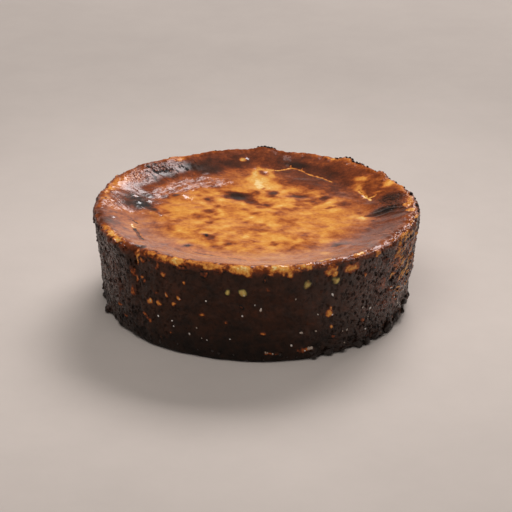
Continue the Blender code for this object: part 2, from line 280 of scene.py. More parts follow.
# Spots and patches of the top, of the same seven values.
SPOTS = (
    # the glow at the back of the middle
    (3, 55, 8.5, 16, 6, 0.15, 1), (8, 46, 9, 6.5, -10, 0.12, 1), (-3, 58.5, 4, 6, 0, 0.14, 0.9),
    (4, 71, 8, 4.4, 0, 0.13, 1), (10.5, 65, 3, 4.4, 0, 0.16, 0.9), (-0.5, 66, 3, 7, 5, 0.09, 1),
    (4.6, 67.5, 4.4, 3, 0, 0.6, 1), (2, 51, 2.4, 9, 6, 0.02, 0.95), (3, 46, 2.2, 3.4, 0, 0.02, 0.9),
    (5.4, 43, 1.7, 1.8, 0, 0.54, 1),
    # the scorch left of the centre's back
    (-11, 30, 9.5, 6.5, -28, 0.9, 1), (-3, 20, 5, 3.5, -40, 0.76, 0.9), (2, 16.5, 3, 2.4, 0, 0.72, 0.8),
    (11.5, 35.5, 5.4, 3, 15, 0.76, 1), (9, 31, 3, 2.4, 0, 0.66, 0.7), (27, 31, 6.4, 3.6, 0, 0.78, 1),
    (21, 29, 2.6, 1.8, 0, 0.66, 0.7), (44, 27.5, 3.6, 3.2, 20, 0.78, 1), (25, 10, 3.6, 2.6, 0, 0.66, 0.85),
    (33, 11, 3, 2, 0, 0.6, 0.7), (47, 12, 4.4, 1.6, 20, 0.64, 0.8), (55, 15, 4, 1.5, 10, 0.62, 0.8),
    (12, 8, 4, 2, 0, 0.52, 0.7), (-29, 3, 4, 4.6, 0, 0.66, 0.85), (-24, -1, 2.4, 2, 0, 0.55, 0.7),
    (-28, 26, 3, 2.4, 0, 0.6, 0.6), (-47, -11, 3, 3.4, 0, 0.56, 0.7), (-9, -8, 3.4, 2.2, 0, 0.52, 0.7),
    (4, -16, 2.8, 2.2, 0, 0.58, 0.7), (5, -27, 4.6, 2.4, 10, 0.66, 0.8), (-9, -30, 2.6, 5.5, 5, 0.55, 0.7),
    (-28, -34, 4.4, 3.2, 0, 0.72, 0.9), (-28, -34, 1.2, 1, 0, 0.98, 1), (-15, -45, 3.4, 2.4, 0, 0.58, 0.6),
    (-4, -40, 5, 1.8, 0, 0.52, 0.6), (40, -19, 5, 2.4, 10, 0.56, 0.7), (36, -33, 3, 2.4, 0, 0.5, 0.6),
    (15, -56, 3.4, 2.4, 0, 0.56, 0.6), (50, -48, 5.2, 3, 15, 0.79, 0.9), (-39, -51, 2.6, 1.8, 0, 0.92, 1),
    (-49.5, 27.5, 3.8, 3.4, 0, 0.86, 0.95),
    # pale gold patches
    (65, -6, 3.8, 3.6, 0, 0.06, 1), (60, -3, 4, 3, 0, 0.2, 0.8), (45, 18.5, 2.4, 6.5, -40, 0.14, 0.95),
    (22.5, 22.5, 5, 2.8, 0, 0.16, 0.9), (42, 15, 4.6, 2.2, 10, 0.2, 0.7), (33, 4, 3, 5, 0, 0.18, 0.6),
    (12, -6, 5, 3, 0, 0.24, 0.6), (2, -38, 7, 4, 0, 0.24, 0.6), (24, -24, 6, 4, 0, 0.24, 0.6),
    (-36, 36, 5, 6, 0, 0.34, 0.6),
    # the dark blister and the swirls at the left
    (-71, 9, 6.8, 5.8, -30, 1, 1), (-74, 19, 5.4, 5, 0, 0.93, 0.95), (-73.5, 21, 1.6, 1.4, 0, 0.6, 0.9),
    (-67, 26, 5, 3.8, -20, 0.87, 0.9), (-78.5, 7, 4.4, 4, 0, 0.86, 0.85),
    (-62.5, 2.5, 6, 3, -40, 0.88, 0.9), (-58, -3, 3.6, 2, -40, 0.74, 0.8),
    # the dark skin behind them and its peach edge
    (-58, 58, 5, 4, 40, 0.88, 0.9), (-42, 70, 6, 3.6, 25, 0.9, 0.9), (-30, 70, 11, 5.5, 15, 0.86, 0.9),
    (-16, 77, 7, 3.6, 0, 0.84, 0.9), (-84, 36, 4.6, 10, -20, 0.36, 0.9), (-92, 22, 3, 6, -10, 0.22, 0.9),
    (-93, 8, 2.2, 5, 0, 0.26, 0.9), (-50, 77, 3.4, 1.6, 30, 0.26, 0.9), (-8.5, 83.5, 1.8, 2.6, 0, 0.08, 1),
    (-30, 49, 4, 5, 0, 0.42, 0.5),
    # behind the crack, and the back of the rim
    (28, 77, 9, 3.8, -20, 0.9, 0.95), (48, 64, 11, 4, -42, 0.8, 0.85), (46.5, 60.8, 9, 1.7, -42, 0.8, 0.9),
    (7, 90, 12, 3, 0, 0.66, 0.6), (28, 88, 5, 2.4, -20, 0.56, 0.7), (50, 80.5, 7, 2.6, -32, 0.32, 0.9),
    # the back right
    (76, 41, 4, 6, -60, 0.58, 0.7), (84, 17, 8, 7, -20, 0.87, 0.95), (69.5, 49.5, 6.5, 4, -40, 0.18, 1),
    (64, 43, 6, 5, -60, 0.44, 0.7), (66.5, 37, 8.5, 2, -71, 0.27, 0.9),
    (76.5, 29.5, 3.6, 1.6, -20, 0.34, 0.7), (84.5, 38, 3.4, 7, -50, 0.17, 1),
    (78.5, 1.5, 9, 4.6, 8, 0.95, 1), (71, -2, 5, 2, 12, 0.84, 0.9), (87, 1.5, 5, 3, 0, 0.82, 0.8),
    (82, -8, 6, 3, 0, 0.76, 0.8), (94, 8, 2.4, 7, 0, 0.3, 0.9), (78, -8, 1.8, 1.8, 0, 0.76, 0.9),
    (71, -11, 1, 1, 0, 0.9, 0.9),
    # the front left, down to the golden lip
    (-88, -27, 5, 7, -20, 0.8, 0.9), (-68, -66, 4, 4, 0, 0.86, 0.9), (42, -64, 3, 4.5, 0, 0.24, 0.9),
)

# Cracks of the top: half width, browning, depth, then the spots that they run through.
CRACKS = (
    # the golden line behind the middle, with its two spurs
    (0.85, 0.18, 0.4, ((-1, 73.5), (7, 73), (14, 72.8), (20, 73.2), (23.5, 74.8))),
    (0.8, 0.28, 0.4, ((23.5, 74.8), (28, 72), (32, 68.5), (38.5, 62.8), (44, 57.5), (48.5, 53.2))),
    (0.8, 0.42, 0.3, ((22.6, 74.5), (23, 76.8))), (0.9, 0.44, 0.3, ((30, 71), (30.6, 73.6))),
    # the star at the right
    (1.2, 0.04, 0.5, ((71.6, 22), (70.2, 25.5), (69.2, 28))),
    (0.8, 0.18, 0.4, ((69.2, 28), (67.6, 33), (65.6, 38))), (0.65, 0.16, 0.4, ((70, 27), (69.8, 30.5))),
    (0.7, 0.2, 0.4, ((70.5, 26), (73, 26), (75.4, 27.4))), (0.65, 0.16, 0.3, ((69.5, 27), (67.4, 25.6))),
    # the pale tip and the dark crack at the left
    (1, 0.08, 0.4, ((-73.5, -23), (-72.6, -26.5))), (0.8, 0.12, 0.4, ((-72.6, -26), (-69, -27.2))),
    (0.95, 0.7, 0.7, ((-71.5, -29), (-69.5, -34), (-67.5, -39), (-65, -44.5))),
    (0.5, 0.7, 0.3, ((-74, -15), (-70, -20))),
    # nicks in the glossy skin at the back left
    (0.6, 0.94, 0.6, ((-63, 56), (-60.5, 58.5))), (0.6, 0.96, 0.7, ((-58, 59), (-56.5, 61.5))),
    (0.7, 0.62, 0.5, ((-54.5, 61), (-53.5, 64))), (0.5, 0.9, 0.5, ((-69, 60), (-67, 61.5))),
    (0.5, 0.9, 0.5, ((-62, 63.5), (-60, 65))),
    # the groove between the middle and the front of the rim
    (0.45, 0.6, 0.3, ((-36, -60), (-26, -65), (-14, -70), (-4, -72))),
)

# How brown a crack is where it starts to lose its shine and where it has lost the most, and that share.
DARK_CRACK = (0.5, 0.7)
DARK_CRACK_DULL = 0.9

# Gold patches of the rim: bearing, how far in from the crest, half width, half reach, browning.
RIM_PATCHES = (
    (-65, -0.4, 7, 3, 0.28), (-60, -0.2, 7, 2.9, 0.2), (-55, -0.9, 5.5, 3, 0.24), (-38, -1.6, 6, 3.2, 0.38),
    (-32.5, -2, 7, 3.6, 0.35), (-27.5, -2.2, 5, 3.6, 0.13), (-21, -1.2, 6.5, 2.8, 0.4),
    (-14, -2, 10, 3.3, 0.28), (-4.5, -2.4, 7.8, 3.8, 0.12), (2, -1, 8, 2.2, 0.34),
    (9.5, -2.4, 8.4, 3.7, 0.14), (17.5, -1.8, 6.4, 3, 0.27), (26, 1.5, 6, 1.6, 0.24),
    (39, -0.5, 6, 2.2, 0.18), (86, 1.2, 3.4, 3.6, 0.22), (91, 3.2, 3.6, 3, 0.24), (-101, 1.5, 4, 2.4, 0.26),
    (-94, 0.5, 3.4, 1.8, 0.3), (148, 0.5, 7, 2.4, 0.3),
)
# Marks of the wall: bearing, height, half width, half height, browning.
WALL_MARKS = (
    (-44.8, 58.5, 3, 3.3, 0.22), (-44, 54.6, 1.5, 1.7, 0.32), (-41.2, 56.5, 1.2, 2.6, 0.5),
    (-38, 57.5, 2.4, 1.8, 0.66), (-34.2, 55.3, 1.6, 1.8, 0.46), (-32.7, 50.8, 1.6, 1.7, 0.42),
    (-37.5, 50, 0.8, 1.2, 0.6), (-47.3, 45.8, 1.9, 2.6, 0.46), (-45.7, 42.4, 1.2, 2.2, 0.46),
    (-42, 45.2, 0.8, 1, 0.37), (-40.8, 43.3, 1.2, 1.2, 0.46), (-47.6, 33.5, 1.5, 3.4, 0.5),
    (-56, 29, 1.2, 1.9, 0.62), (-36.2, 37.5, 1.6, 0.9, 0.5), (-31.8, 37.8, 1.3, 1.9, 0.34),
    (-26.8, 37.3, 1.3, 1.3, 0.32), (-39.8, 30.2, 1.5, 1.5, 0.38), (-38.5, 31.2, 1.4, 1.3, 0.26),
    (-35.2, 31.4, 1.7, 1.6, 0.38), (-29, 33, 1.5, 1, 0.42), (-57.8, 17.3, 2.2, 1.3, 0.56),
    (-55, 12, 3, 1.5, 0.62), (-42.3, 20.3, 1.4, 1.4, 0.46), (-40.3, 17.6, 2, 1.8, 0.56),
    (-31.3, 13.8, 1.2, 1.1, 0.6), (-35, 8.5, 1.8, 0.9, 0.68), (-19, 29.6, 1.9, 1, 0.42),
    (-24.6, 48.2, 0.9, 1.1, 0.42), (-9.8, 26.2, 1, 1.2, 0.42), (-25, 57.5, 3.8, 2, 0.66),
    (-26.3, 59.6, 0.9, 1, 0.37), (-17, 56, 3, 2.4, 0.67), (-12, 59, 4, 1.5, 0.62),
    (-4.3, 37.5, 0.9, 1.5, 0.74), (-1.8, 57.6, 1.7, 1.9, 0.28), (5.4, 57.8, 1.8, 1.3, 0.46),
    (3.7, 54, 1, 1.7, 0.67), (4.4, 48.2, 1.2, 1, 0.49), (11.9, 57.5, 1.9, 2, 0.35),
    (15, 59.3, 3, 1.1, 0.44), (26.8, 56.4, 3.8, 3.2, 0.2), (28.3, 53.4, 1.7, 2.1, 0.32),
    (34.8, 55.4, 5, 2.8, 0.2), (36, 53, 1.4, 1.1, 0.46), (46, 59.8, 2.3, 2, 0.37),
    (41.2, 47.5, 1.6, 1.5, 0.41), (45.6, 51, 1, 1.6, 0.62), (53, 60, 2, 1.5, 0.5),
    (59.3, 50.8, 3.6, 1.9, 0.28), (60.5, 57, 2.5, 2, 0.4), (55.5, 48, 2, 1.4, 0.46),
    (57.5, 38.2, 4.2, 1.4, 0.38), (57, 30.4, 1.6, 0.9, 0.34), (57.8, 28.8, 1.4, 1.2, 0.5),
    (27.5, 29, 2.3, 2.3, 0.22), (27.8, 32.2, 0.8, 1.3, 0.36), (28.7, 19.6, 1.1, 1, 0.39),
    (3.5, 20.3, 1.8, 0.9, 0.4), (5.5, 6.3, 3, 1.2, 0.56), (8.5, 6.4, 1.3, 1, 0.6),
    (18.5, 6.9, 5, 1.5, 0.55), (42.5, 17.5, 2.2, 1.6, 0.66), (29.8, 12, 2, 1.2, 0.68),
    (39, 33.5, 3, 1.2, 0.72), (32, 48.8, 1.2, 1, 0.66), (45, 5.5, 2, 1.1, 0.68), (50.5, 26, 1.5, 1.5, 0.74),
    (63, 47, 2.6, 1.1, 0.24), (68, 43.5, 3.2, 1, 0.22), (72, 46, 3.6, 1.3, 0.24), (66, 34.5, 4, 1.2, 0.36),
    (71.5, 33, 3, 1, 0.32), (80, 50, 4, 1.4, 0.24), (76, 38, 4, 1, 0.38), (84, 43, 4, 1.2, 0.3),
    (62, 8, 2.5, 1.5, 0.64),
)
# How many more the hidden part of the wall has, where, and how they vary.
HIDDEN_MARKS = 70
HIDDEN_FROM = 90
HIDDEN_TO = 282
MARK_HEIGHTS = (8, 60)
MARK_HALF_WIDTHS = (0.8, 2.4)
MARK_HALF_HEIGHTS = (1.0, 3.0)
MARK_BROWNINGS = (0.26, 0.7)
# Most lie high on the wall: the smaller this power, the more of them.
MARKS_RAISED = 0.6
MARK_SEED = 19
MARK_PROUD = 0.5
MARK_BRIGHTER = 0.14
MARK_LEAST = 0.17
MARK_BRIGHT = 0.45
# How much of a mark's browning the wall under it takes on.
MARK_UNDER = 0.5
# The distance noted where there is no mark.
NO_MARK = 3
# Pale batter under a dark film: bearing, height, half width, half height.
OLIVE_MARKS = (
    (-9.2, 46, 2.1, 2.1), (-3.9, 46.4, 2.5, 2.2), (18.1, 50.6, 2.5, 2.5), (28.8, 49.4, 2.5, 2.1),
)
OLIVE_BROWNING = 0.62
OLIVE_COLOUR = (0.60, 0.45, 0.13, 1)

# How much the middle shines, by distance from the centre, and the rim's slope, by bearing.
SHINE_ACROSS = ((0, 0.45), (50, 0.6), (68, 0.95))
SHINE_EDGE = (70, 80)
SLOPE_SHINE = (
    (-180, 0.1), (-160, 0.12), (-152, 0.2), (-147, 0.72), (-112, 0.85), (-104, 0.6), (-84, 0.6), (-70, 0.7),
    (-40, 1), (60, 1), (84, 0.7), (100, 0.35), (116, 0.15), (180, 0.1),
)
WALL_FOOT_SHINE = 0.8
FOOT_DULL_HEIGHTS = (4, 20)
# Where the skin is finely wrinkled: right, back, half length, half width, turn, share, shine.
WRINKLED = (
    (-60, 64, 13, 7, 43, 1, 1), (-75, 47, 13, 8, 60, 1, 1), (-50, 42, 16, 8, 42, 0.5, 0.8),
    (-29, 52, 13, 8, 12, 0.5, 0.8), (-62, 30, 8, 6, 60, 0.4, 0.75), (-76, 20, 7, 7, 0, 0.8, 1),
    (-86, 6, 6, 10, 0, 0.7, 0.9), (-83, 15.5, 6, 8, 0, 0.4, 1), (-68, 12, 9, 12, 0, 0.8, 0.3),
    (-46, 28, 7, 7, 0, 0.8, 0.8), (84, 10, 12, 16, 0, 0.8, 0.35), (80, -30, 14, 24, -25, 0.4, 0.3),
    (95, 8, 5, 26, 5, 1, 1), (87, -42, 5, 26, -27, 1, 1), (60, -75, 5, 26, -52, 0.7, 1),
    (32, -91, 14, 4, 15, 0.8, 1), (-28, -34, 4, 3, 0, 0.3, 0.5), (-39, -51, 5, 4, 0, 0.4, 0.9),
)
# Where short ripples run out from the middle: right, back, half length, half width, turn.
RIPPLED = (
    (-49, 43, 18, 9, 42), (-30, 52, 13, 8, 12), (-62, 30, 9, 7, 60),
)
WRINKLED_LEAST_UP = 0.3
RIPPLE_TURN = (0, 0, 40)
RIPPLE_LENGTH = 2.0
# The ripples' saw-toothed ridges: how many a metre, and the turn of their rise.
RIDGES = 380
RIDGE_TURN = 140
# Where the gloss is broken by short dark dashes: right, back, half length, half width, turn.
DASHED = (
    (-60, 60, 16, 9, 43), (-46, 68, 9, 7, 33),
)
DASH_TURN = (0, 0, -52)
DASH_LENGTH = 3.5
# A painted sheen on the slope, the pale room's reflection mixed into the colour: bearing, share; and its
# inner and outer edges, its colour and how thick it is.
PAINTED_SHEEN_ROUND = (
    (-180, 0.12), (-120, 0), (-95, 0.4), (-60, 0.8), (0, 1.2), (40, 0.7), (75, 0.15), (95, 0), (180, 0.12),
)
PAINTED_SHEEN_EDGES = (56, 70, 90, 95)
PAINTED_SHEEN_COLOUR = (0.75, 0.70, 0.68, 1)
PAINTED_SHEEN_MOST = 0.11
# Glossy bubbles and folds: right, back, half length, half width, turn, rise.
BUBBLES = (
    (-72.8, 10.6, 2.2, 1.4, -30, 0.7), (-75, 22.5, 2.4, 1.6, 0, 0.7), (-66.6, 17, 3.4, 2.6, -20, 1),
    (-69.5, 3.5, 2.8, 1.2, -35, 0.6), (-65.5, 0.2, 2.6, 1.2, -35, 0.6), (-59, -4.5, 2.6, 1.4, -20, 0.6),
    (-46.3, 25.8, 4.2, 3.4, 0, 1.2), (-89, 7, 3.6, 1.1, -20, 0.5), (-84.5, 6, 5.2, 1.1, -52, 0.5),
    (-83.4, 11.5, 3.4, 1.1, -40, 0.5), (-85, -19, 1.8, 1.2, 0, 0.5), (-30, -33.5, 2.4, 1.6, 0, 0.5),
    (-39.5, -50, 2.4, 1.4, 0, 0.5), (-7, 83.5, 1.8, 1.6, 0, 0.8),
)
# Where the skin stays dull: half width, share, the spots that it runs through. The first few stay so where
# it is wrinkled too.
STILL_DULL = 3
# Distance from its line, 1 at its half width, where it is full and where it ends.
DULL_EDGE = (0.2, 1.8)
DULL = (
    (3.4, 0.9, ((-6, 75), (-22, 73), (-38, 66), (-50, 57), (-60, 46), (-67, 36))),
    (9, 0.9, ((2, 86), (-20, 84), (-38, 80))), (8, 0.95, ((-77, 14), (-66, 6))),
    (3, 0.8, ((-52, -47), (-30, -62), (0, -72))),
)
# How much of that shine the rim's crest keeps, and how far the gold runs over its edge and how raggedly.
CREST_ROUND = (
    (-180, 0.1, 0.8, 1), (-150, 0.15, 0.8, 1), (-140, 0.6, 0.4, 0.8), (-110, 0.8, 0.15, 0.5),
    (-90, 0.8, 0.2, 0.5), (-66, 0.8, 0.7, 0.8), (-57, 0.6, 0.3, 0.5), (-52, 0.2, 0.3, 0.6),
    (-42, 0.2, 0.5, 0.6), (-36, 0.7, 0.8, 0.6), (0, 0.8, 1, 0.5), (12, 1.00, 1, 0.5), (40, 1.00, 1, 0.8),
    (84, 1.00, 0.5, 0.8), (108, 0.9, 0.2, 0.6), (116, 0.4, 0.15, 0.6), (150, 0.15, 0.3, 0.8),
    (180, 0.1, 0.8, 1),
)
CREST = (91, 94)


def smooth(value, low=0, high=1.0):
    """0 below low, 1 above high and an even curve between them."""
    share = np.clip((value - low) / (high - low), 0, 1.0)
    return share * share * (3 - 2 * share)


def hump(distance, half_width):
    """1 at no distance, falling away evenly on both sides."""
    return np.exp(-((distance / half_width) ** 2))


def bearing_gap(bearing, other):
    """Degrees from one bearing to another, the short way round."""
    return (bearing - other + 180) % 360 - 180


def toward(value, target, share):
    """The value moved by a share of the way to its target."""
    return value + (target - value) * share


def patches(spots, size, seed=0):
    """Even noise at each spot, about -0.5 to 0.5, in patches of the given size."""
    shift = Vector((31.7, 17.3, 7.9)) * seed
    return np.array([noise.noise(Vector(spot) + shift) for spot in spots / size])


def read_round(table, bearing, column=1):
    """A table's value at each bearing, even between its rows."""
    return np.interp(bearing, [row[0] for row in table], [row[column] for row in table])


# ------------------------------------
# The crust's grid: rings of points, from the centre of the top to that of the underside.

def slope_height(share):
    """Height of the rim's inner slope, at a share of the way from the crease to the crest."""
    climb = SLOPE_STRAIGHTNESS * share + (1 - SLOPE_STRAIGHTNESS) * math.sin(share * math.pi / 2)
    return CREASE_HEIGHT + CREASE_DROP * climb


def middle_height(radius):
    """Height of the sunken middle."""
    return CREASE_HEIGHT - MIDDLE_DIP * (1 - (radius / CREASE_RADIUS) ** 2)


def top_height(radius):
    """Height of the top, with the crease between the middle and the slope rolled smooth."""
    total = 0
    for share, weight in CREASE_ROLL:
        at = abs(radius + share * CREASE_ROLL_REACH)
        if at < CREASE_RADIUS:
            total += weight * middle_height(at)
        else:
            total += weight * slope_height(min((at - CREASE_RADIUS) / (CREST_RADIUS - CREASE_RADIUS), 1))
    rolled = total / sum(weight for _, weight in CREASE_ROLL)
    exact = float(smooth(radius, CREST_RADIUS - CREASE_ROLL_REACH, CREST_RADIUS))
    at_slope = max(radius - CREASE_RADIUS, 0) / (CREST_RADIUS - CREASE_RADIUS)
    return toward(rolled, slope_height(at_slope), exact)


def bands(start, end, number):
    """Evenly spaced values from start, without the end."""
    return [start + (end - start) * band / number for band in range(number)]


def edge_ring(centre_radius, centre_height, reach, degrees):
    """Radius and height on a rounded edge, at an angle above level."""
    angle = math.radians(degrees)
    return centre_radius + reach * math.cos(angle), centre_height + reach * math.sin(angle)


def crust_rings():
    """Each ring's radius, height and steps, down to the outer edge of the underside and in again."""
    rings = []
    for start, end, number, steps in TOP_ZONES:
        rings += [(radius, top_height(radius), steps) for radius in bands(start, end, number)]
    outer = [edge_ring(*RIM_EDGE, degrees) for degrees in bands(90, -TAPER, RIM_BANDS)]
    wall_top, foot_top = edge_ring(*RIM_EDGE, -TAPER), edge_ring(*FOOT_EDGE, -TAPER)
    for share in bands(0, 1, WALL_BANDS):
        outer.append([toward(top, foot, share) for top, foot in zip(wall_top, foot_top)])
    outer += [edge_ring(*FOOT_EDGE, degrees) for degrees in bands(-TAPER, -90, FOOT_BANDS)]
    outer.append((FOOT_RADIUS - FOOT_ROUND, 0))
    rings += [(radius, height, WALL_STEPS) for radius, height in outer]
    rings += [(radius, 0, steps) for radius, steps in UNDERSIDE_RINGS]
    return rings[1:]


def profile_normals(rings):
    """How far outwards and upwards each ring's surface faces."""
    line = np.array([(0, top_height(0))] + [ring[:2] for ring in rings] + [(0, 0)])
    along = line[2:] - line[:-2]
    along /= np.linalg.norm(along, axis=1)[:, None]
    return np.stack([-along[:, 1], along[:, 0]], axis=1)


def turned_grid():
    """Every point of the turned shape, and the faces between them."""
    rings = crust_rings()
    facing = profile_normals(rings)
    rows, starts = [], []
    count = 1
    for (radius, height, steps), (out, up) in zip(rings, facing):
        bearings = np.arange(steps) * 360 / steps - 180
        rows.append(np.stack([
            np.full(steps, radius), np.full(steps, height), bearings,
            np.full(steps, out), np.full(steps, up),
        ]))
        starts.append((count, steps))
        count += steps
    top = np.array([[0], [top_height(0)], [0], [0], [1]])
    underside = np.array([[0], [0], [0], [0], [-1]])
    radius, height, bearing, out, up = np.hstack([top] + rows + [underside])
    angle = np.radians(bearing)
    grid = SimpleNamespace(radius=radius, height=height, bearing=bearing, out=out, up=up)
    grid.right = radius * np.sin(angle)
    grid.back = -radius * np.cos(angle)
    grid.faces = ring_faces(starts, count)
    return grid


def ring_faces(starts, last):
    """The fans at both centres and the bands between the rings."""
    first, steps = starts[0]
    faces = [(0, first + i, first + (i + 1) % steps) for i in range(steps)]
    for (a, inner), (b, outer) in zip(starts[:-1], starts[1:]):
        if inner == outer:
            faces += [(a + i, b + i, b + (i + 1) % outer, a + (i + 1) % inner) for i in range(inner)]
        elif outer == 2 * inner:
            for i in range(inner):
                j, k, n = 2 * i, 2 * i + 1, (2 * i + 2) % outer
                faces += [(a + i, b + j, b + k), (a + i, b + k, a + (i + 1) % inner)]
                faces.append((a + (i + 1) % inner, b + k, b + n))
        else:
            for i in range(outer):
                j, k, n = 2 * i, 2 * i + 1, (2 * i + 2) % inner
                faces += [(a + j, b + i, a + k), (a + k, b + i, b + (i + 1) % outer)]
                faces.append((a + k, b + (i + 1) % outer, a + n))
    final, steps = starts[-1]
    faces += [(last, final + (i + 1) % steps, final + i) for i in range(steps)]
    return faces


# ------------------------------------
# The solid's relief, as in its source.

def foot_crags():
    """Every crag round the foot: those that show, then the rest by a seeded draw."""
    draw = random.Random(CRAG_SEED)
    crags = list(SHOWN_CRAGS)
    spacing = (HIDDEN_CRAGS_TO - HIDDEN_CRAGS_FROM) / HIDDEN_CRAGS
    for number in range(HIDDEN_CRAGS):
        bearing = HIDDEN_CRAGS_FROM + spacing * (number + draw.uniform(*CRAG_SPREAD))
        height = draw.uniform(*CRAG_HEIGHTS)
        half_width = draw.uniform(*CRAG_HALF_WIDTHS)
        crags.append((bearing, height, half_width, draw.uniform(*CRAG_STANDS)))
    return crags


CRAGS = foot_crags()


def wall_noise(height, bearing, width, length):
    """Even noise over the wall, in patches of the given width and length."""
    angle = np.radians(bearing)
    reach = RIM_RADIUS / width
    return patches(np.stack([np.sin(angle) * reach, np.cos(angle) * reach, height / length], axis=1), 1)


def outline_swell(bearing):
    """How far the whole outline swells at a bearing."""
    swell = np.zeros_like(bearing)
    for waves, out, peak in OUTLINE_SWELLS:
        swell += out * np.cos(np.radians(waves * (bearing - peak)))
    for at, half_width, out in WALL_BULGES:
        swell += out * hump(bearing_gap(bearing, at), half_width)
    return swell


def paper_crease_depth(height, bearing):
    """How deep the paper's creases are pressed into the wall."""
    depth = np.zeros_like(bearing)
    for at, deep, half_width, run_out, lean in PAPER_CREASES:
        fall = 1 - height / RIM_HEIGHT
        aside = np.radians(bearing_gap(bearing, at + lean * fall)) * RIM_RADIUS
        depth += deep * smooth(height, run_out, RIM_HEIGHT) * hump(aside, half_width)
    return depth


def crag_out(height, bearing):
    """How far the foot's crags stand out of the wall."""
    out = np.zeros_like(bearing)
    for at, up, half_width, proud in CRAGS:
        aside = np.radians(bearing_gap(bearing, at)) * FOOT_RADIUS
        out += proud * hump(np.hypot(aside, height - up), half_width)
    return out


def outward_relief(height, bearing):
    """How far a point of the rim, wall or foot moves out from the turned shape."""
    wave = WALL_WAVE * wall_noise(height, bearing, WALL_WAVE_WIDTH, WALL_WAVE_LENGTH)
    wave += CRUST_KNOB * wall_noise(height, bearing, CRUST_KNOB_WIDTH, CRUST_KNOB_WIDTH)
    lip = LIP_OUT * hump(bearing_gap(bearing, LIP_BEARING), LIP_HALF_WIDTH)
    lip = lip * hump(height - LIP_HEIGHT, LIP_HALF_HEIGHT)
    out = outline_swell(bearing) + wave + lip + crag_out(height, bearing)
    return out - paper_crease_depth(height, bearing)


def rim_rise(bearing):
    """How far the rim rises at a bearing, without its tilt."""
    rise = RIM_WAVE * wall_noise(np.zeros_like(bearing), bearing, RIM_WAVE_WIDTH, RIM_WAVE_WIDTH)
    for at, half_width, high in RIM_RISES:
        rise += high * hump(bearing_gap(bearing, at), half_width)
    return rise


def middle_relief(right, back):
    """Blisters, sunken spots and slow unevenness of the top."""
    flat = np.stack([right, back, np.zeros_like(right)], axis=1)
    rise = MIDDLE_WAVE * patches(flat, MIDDLE_WAVE_WIDTH)
    for at_right, at_back, half_width, high in TOP_BLISTERS:
        rise += high * hump(np.hypot(right - at_right, back - at_back), half_width)
    return rise


def upward_relief(grid):
    """How far a point of the top moves up from the turned shape."""
    tilt = RIM_TILT * np.cos(np.radians(grid.bearing)) * grid.radius / RIM_RADIUS
    rim_share = smooth(grid.radius, CREASE_RADIUS, CREST_RADIUS)
    rim = rim_share * rim_rise(grid.bearing)
    middle = (1 - rim_share) * middle_relief(grid.right, grid.back)
    groove = CREASE_GROOVE * hump(grid.radius - CREASE_RADIUS, CREASE_GROOVE_HALF_WIDTH)
    return tilt + rim + middle - groove * read_round(GROOVE_ROUND, grid.bearing)


# ------------------------------------
# Shares of the zones and marks.

# How ragged the edge between the top and the wall is, as layers of noise, and how soft, in mm.
LIP_RAGGED = ((1.2, 5.5, 3), (0.5, 2.2, 4))
LIP_EDGE = (-0.4, 0.4)
# How the marks of the top wander: how much, the size of the noise, its seeds to the right and to the back.
BENDS = ((2.4, 9, (1, 2)), (1.0, 3.4, (5, 6)))
CRACK_BEND = 0.5
# How the marks of the wall wander to the side and upwards, as layers of noise.
ASIDE_WANDER = ((1.3, 3.2, 7),)
UPWARD_WANDER = ((1.3, 3.2, 8),)
# The rim's patches wander less, by this share.
RIM_WANDER = 0.6
# Added to a mark's distance where the mark doesn't reach.
FAR_OFF = 9
# Distance from a mark's middle, 1 at its edge, where it is full and where it ends.
SPOT_EDGE = (0.35, 1.3)
WALL_MARK_EDGE = (0.6, 1.35)
OLIVE_EDGE = (0.7, 1.5)
BUBBLE_EDGE = (1.0, 1.8)


def layers(grid, rows):
    """Layers of noise over the crust, added up: how much, the size of their patches, seed."""
    return sum(much * patches(grid.spots, size, seed) for much, size, seed in rows)


def patchy(grid, size, seed, start, full):
    """1 in patches of noise over the crust, 0 between them."""
    return smooth(patches(grid.spots, size, seed), start, full)


def fade(value, edges):
    """1 below the first edge, 0 above the second and an even curve between them."""
    return 1 - smooth(value, *edges)


def wall_share(grid):
    """1 on the wall, 0 on the top, with a ragged edge a little below the crest."""
    outside = (grid.radius > CREST_RADIUS) | (grid.up <= 0)
    ragged = layers(grid, LIP_RAGGED) * read_round(CREST_ROUND, grid.bearing, 3)
    past = RIM_HEIGHT - grid.height + ragged - read_round(CREST_ROUND, grid.bearing, 2)
    return np.where(outside, smooth(past, *LIP_EDGE), 0)


def inward_of_crest(grid):
    """How far in each point lies from the rim's crest along the surface, below 0 outside it."""
    above_round = np.maximum(grid.height - RIM_HEIGHT + RIM_ROUND, 1e-6)
    over = RIM_ROUND * np.arctan2(grid.radius - CREST_RADIUS, above_round)
    down = np.maximum(RIM_HEIGHT - RIM_ROUND - grid.height, 0)
    inside = (grid.radius <= CREST_RADIUS) & (grid.up > 0)
    return np.where(inside, CREST_RADIUS - grid.radius, -over - down)


def ellipse(right, back, mark):
    """How far each spot is from a mark's middle, 1 at its edge."""
    at_right, at_back, half_length, half_width, turn = mark[:5]
    angle = math.radians(turn)
    aside, behind = right - at_right, back - at_back
    along = aside * math.cos(angle) + behind * math.sin(angle)
    across = behind * math.cos(angle) - aside * math.sin(angle)
    return np.hypot(along / half_length, across / half_width)


def soft_share(grid, mark):
    """1 at the middle of a soft mark of the top, falling away evenly."""
    return hump(ellipse(grid.shifted_right, grid.shifted_back, mark), 1)


def soft_marks(grid, marks):
    """The largest share that any of these soft marks has of each spot."""
    return np.max([soft_share(grid, mark) for mark in marks], axis=0)


